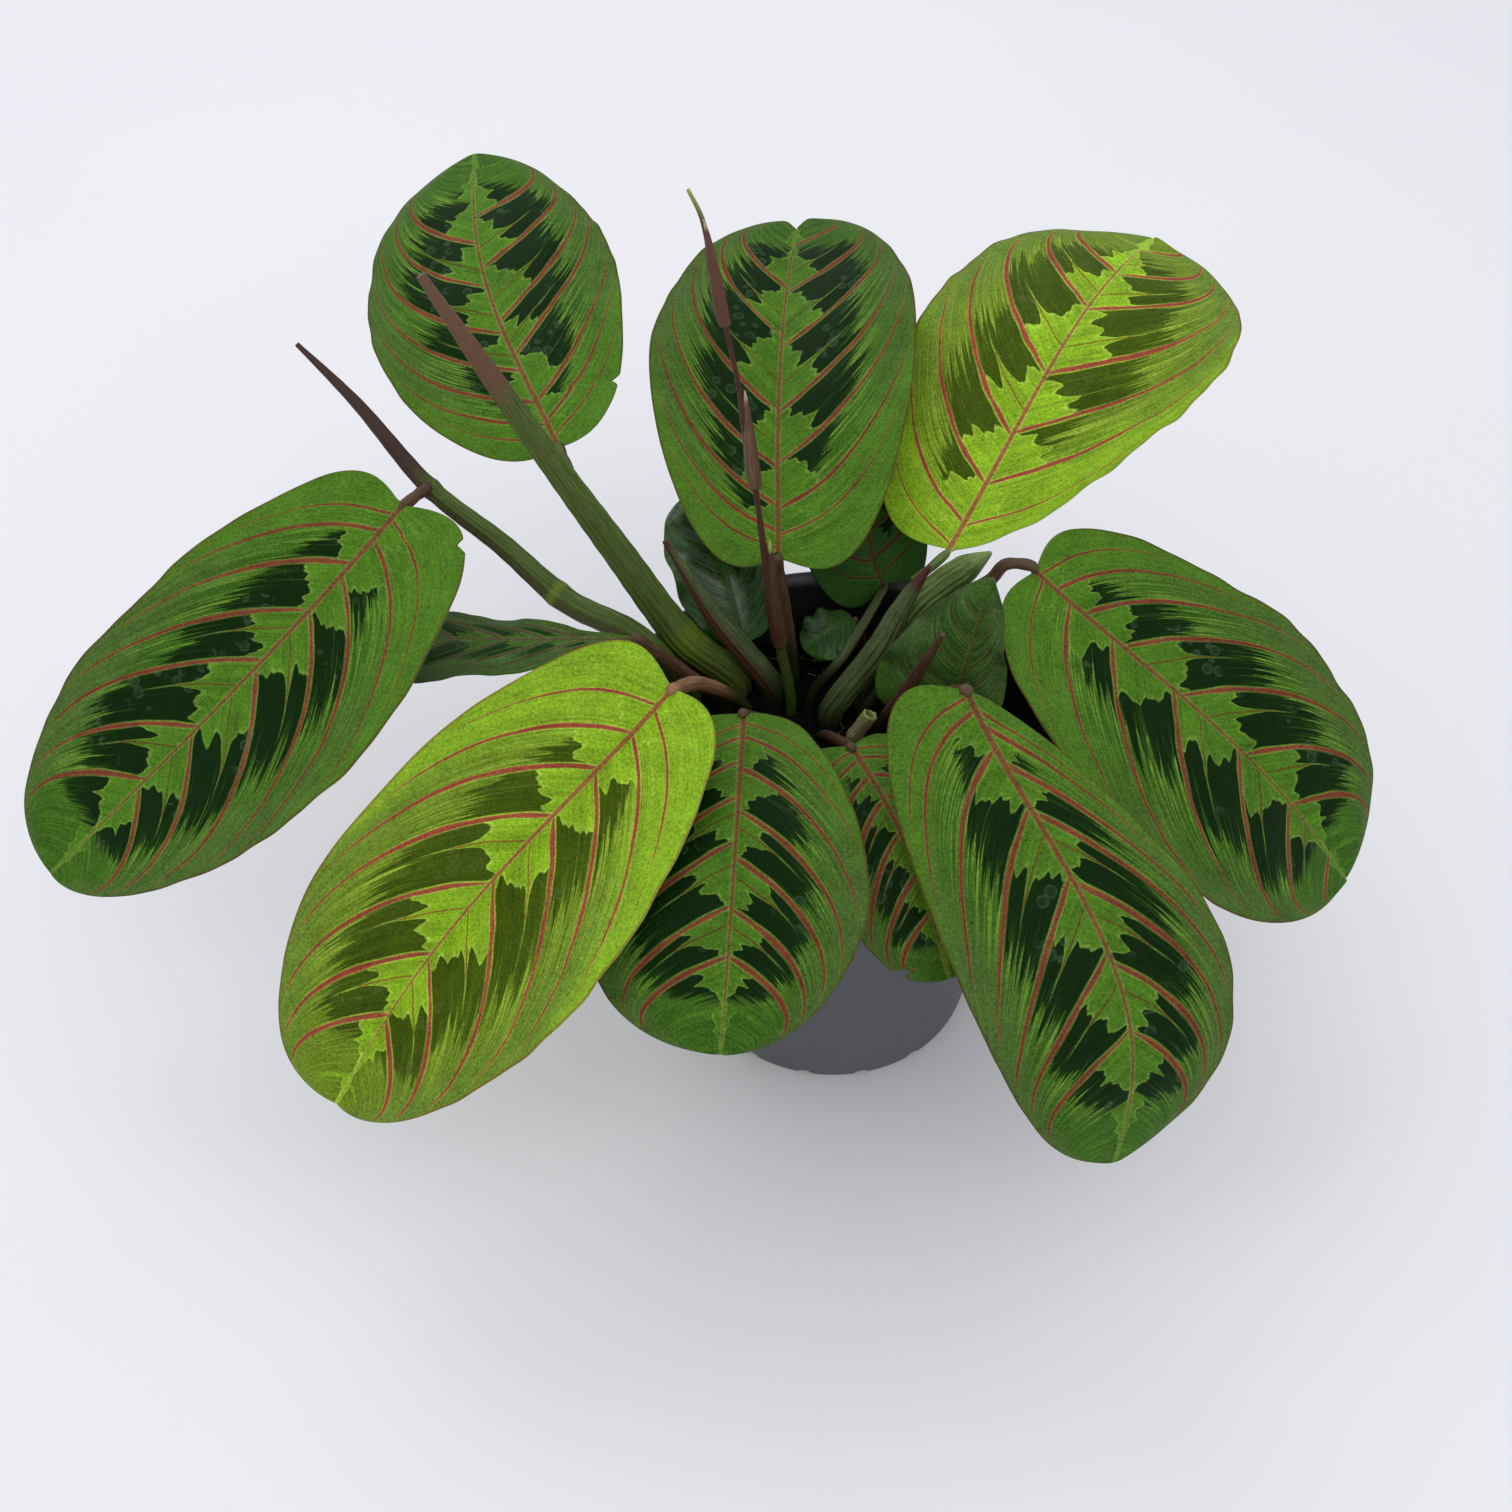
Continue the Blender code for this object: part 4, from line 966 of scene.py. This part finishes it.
def build_soil():
    """The potting mix: a crumbly surface over a plain body, loose crumbs, fibres and pale beads."""
    edge = wall_radius(SOIL_EDGE) - SOIL_GAP
    circles = [(edge * (i / SOIL_STEPS) ** 0.9, None) for i in range(SOIL_STEPS + 1)]
    circles += [(wall_radius(SOIL_TOE) - SOIL_GAP, SOIL_TOE), *SOIL_FOOT]
    points = []
    for i, (radius, height) in enumerate(circles):
        for j in range(SOIL_TURNS):
            angle = TURN * j / SOIL_TURNS
            x, y, z = radius * math.cos(angle), radius * math.sin(angle), height
            if height is None:
                hollow = max(0.0, 1.0 - max(from_roots(x, y), 0.0) / HOLLOW_WIDTH)
                z = soil_height(x, y) - HOLLOW_DEPTH * hollow
            points.append((x, y, min(z, SOIL_EDGE) if i == SOIL_STEPS else z))
    faces = []
    for start in range(0, (len(circles) - 1) * SOIL_TURNS, SOIL_TURNS):
        for j in range(SOIL_TURNS):
            a, b = start + j, start + (j + 1) % SOIL_TURNS
            faces.append((a, a + SOIL_TURNS, b + SOIL_TURNS, b))
    faces.append(tuple(range(len(points) - SOIL_TURNS, len(points)))[::-1])
    body = mesh_piece("fine_soil", points, faces, soil_material("soil_body", 1.0), "soil")
    body.data.validate()
    rng = random.Random(SOIL_SEED)
    sizes = [rng.uniform(*CRUMB_SIZES) * (1.0 if i % BIG_CRUMB_EVERY else BIG_CRUMB) for i in range(CRUMBS)]
    lumps("soil_crumbs", sizes, rng, soil_material("soil_crumb", 1.25))
    tones = (0.10, 0.09, 0.07), (0.30, 0.28, 0.24)
    sizes = [rng.uniform(*BEAD_SIZES) for _ in range(BEADS)]
    lumps("soil_beads", sizes, rng, speck("soil_bead", 0.8, 500.0, tones))
    fibres = bmesh.new()
    for _ in range(FIBRES):
        fibre(fibres, rng)
    bmesh.ops.recalc_face_normals(fibres, faces=fibres.faces)
    skin = speck("soil_fibre", 0.7, 90.0, ((0.045, 0.028, 0.015), (0.24, 0.19, 0.12)), (0.42, 0.62))
    stand_for(new_object("soil_fibres", mesh_from(fibres, "soil_fibres", skin)), "soil")


def lumps(name, sizes, rng, material):
    """Irregular lumps of the sizes given, each pressed a little into the soil at a free place."""
    bm = bmesh.new()
    bmesh.ops.create_icosphere(bm, subdivisions=1, radius=1.0)
    ball = np.array([vertex.co for vertex in bm.verts])
    sides = [[vertex.index for vertex in face.verts] for face in bm.faces]
    bm.free()
    points, faces = [], []
    for size in sizes:
        x, y = open_place(rng, size + 0.5)
        turn = np.array(Euler([rng.random() * ROUND for _ in range(3)]).to_matrix())
        stretch = size * np.array((rng.uniform(0.8, 1.5), rng.uniform(0.6, 1.0), rng.uniform(0.5, 0.9)))
        uneven = np.array([1.0 + rng.uniform(-0.25, 0.25) for _ in ball])[:, None]
        start = len(points) * len(ball)
        points.append((ball * uneven * stretch) @ turn.T + (x, y, soil_height(x, y) + size * 0.25))
        faces += [[start + index for index in side] for side in sides]
    mesh_piece(name, np.concatenate(points), faces, material, "soil")


def open_place(rng, margin):
    """A random place on the soil that keeps clear of the stalks by the margin."""
    while True:
        radius, angle = CRUMB_REACH * math.sqrt(rng.random()), rng.random() * TURN
        x, y = radius * math.cos(angle), radius * math.sin(angle)
        if from_roots(x, y) > margin:
            return x, y


def fibre(bm, rng):
    """A thin bent root or coir fibre lying on the soil."""
    x, y = open_place(rng, 3.0)
    heading, bend = rng.random() * ROUND, rng.uniform(-0.25, 0.25)
    thick = rng.uniform(0.07, 0.16)
    rows = []
    for step in range(9):
        z = soil_height(x, y) + 0.35 + 0.5 * math.sin(step * 0.8 + bend * 9)
        across = Vector((-math.sin(heading), math.cos(heading), 0.0))
        centre = Vector((x, y, z))
        ring = [centre + across * thick * math.cos(a) + Vector((0, 0, thick * math.sin(a)))
                for a in (0.5, 2.6, 4.7)]
        rows.append([bm.verts.new(point * MM) for point in ring])
        x, y = x + math.cos(heading) * FIBRE_STEP, y + math.sin(heading) * FIBRE_STEP
        heading += bend
    for above, below in zip(rows, rows[1:]):
        for j in range(3):
            bm.faces.new((above[j], above[(j + 1) % 3], below[(j + 1) % 3], below[j]))
    bm.faces.new(rows[0][::-1])
    bm.faces.new(rows[-1])


def soil_material(name, bright):
    """Near-black peat with lighter patches and a few pale flecks. Its tones are darker than peat's own, as
    painted shade for the inside of the pot.
    """
    def tone(*colour):
        return tuple(value * bright for value in colour)

    g = Graph(name, 0.9, 0.05)
    place = g.place()
    lump = g.noise(place, 900.0, 4.0, 0.7)
    patch = g.noise(place, 120.0, 3.0, 0.6)
    # These tones are partly the peat's own dark colour and partly painted shade, set far darker than peat so
    # the soil reads as shaded.
    g.colour = g.mix(lump, tone(0.0012, 0.0011, 0.0010), tone(0.0060, 0.0050, 0.0044))
    g.paint(g.step(patch, 0.55, 0.75, 0.0, 0.5), tone(0.012, 0.009, 0.007))
    pale = g.step(g.voronoi(place, 700.0), 0.05, 0.12, 1.0, 0.0)
    chosen = g.step(g.noise(place, 330.0, 1.0), 0.60, 0.66)
    g.paint(pale * chosen * 0.6, (0.10, 0.09, 0.07))
    return g.finish(g.colour, 0.6 + lump * 0.4, lump, 0.9, 0.0006)


def speck(name, roughness, scale, tones, sharp=None):
    """A plain material that runs between two tones, in patches of the scale given."""
    g = Graph(name, roughness)
    tone = g.noise(g.place(), scale, 2.0)
    if sharp:
        tone = g.step(tone, *sharp)
    return g.finish(g.mix(tone, *tones))


def build_floor():
    bm = bmesh.new()
    bmesh.ops.create_grid(bm, x_segments=8, y_segments=8, size=6.0)
    skin = speck("pale_floor", 0.6, 2.0, ((0.73, 0.73, 0.76), (0.78, 0.78, 0.80)))
    new_object("floor", mesh_from(bm, "floor", skin))


def area_light(name, place, size, power):
    """A square light that looks at the plant's middle."""
    data = bpy.data.lights.new(name, "AREA")
    data.shape = "SQUARE"
    data.size = size
    data.energy = power
    light = new_object(name, data)
    light.location = place
    light.rotation_euler = (PLANT_MIDDLE - Vector(place)).to_track_quat("-Z", "Y").to_euler()


def light_and_camera():
    scene = bpy.context.scene
    scene.view_settings.view_transform = "Standard"
    scene.world = bpy.data.worlds.new("studio")
    scene.world.use_nodes = True
    sky = scene.world.node_tree.nodes["Background"].inputs
    sky["Color"].default_value = SKY_COLOUR
    sky["Strength"].default_value = SKY_STRENGTH
    area_light("window", (-0.5, 1.1, 1.6), 1.1, 8.0)
    area_light("fill", (0.2, -1.3, 1.3), 1.6, 8.5)
    data = bpy.data.cameras.new("camera")
    data.lens = CAMERA_LENS
    data.sensor_width = CAMERA_SENSOR
    data.clip_start = 0.01
    camera = new_object("camera", data)
    camera.location = Vector(CAMERA_PLACE) * MM
    camera.rotation_euler = (math.radians(90.0 - CAMERA_DOWN), 0.0, 0.0)
    scene.camera = camera


build_leaves()
build_petioles()
build_shoots()
build_bracts()
build_stub()
build_pot()
build_soil()
build_floor()
light_and_camera()
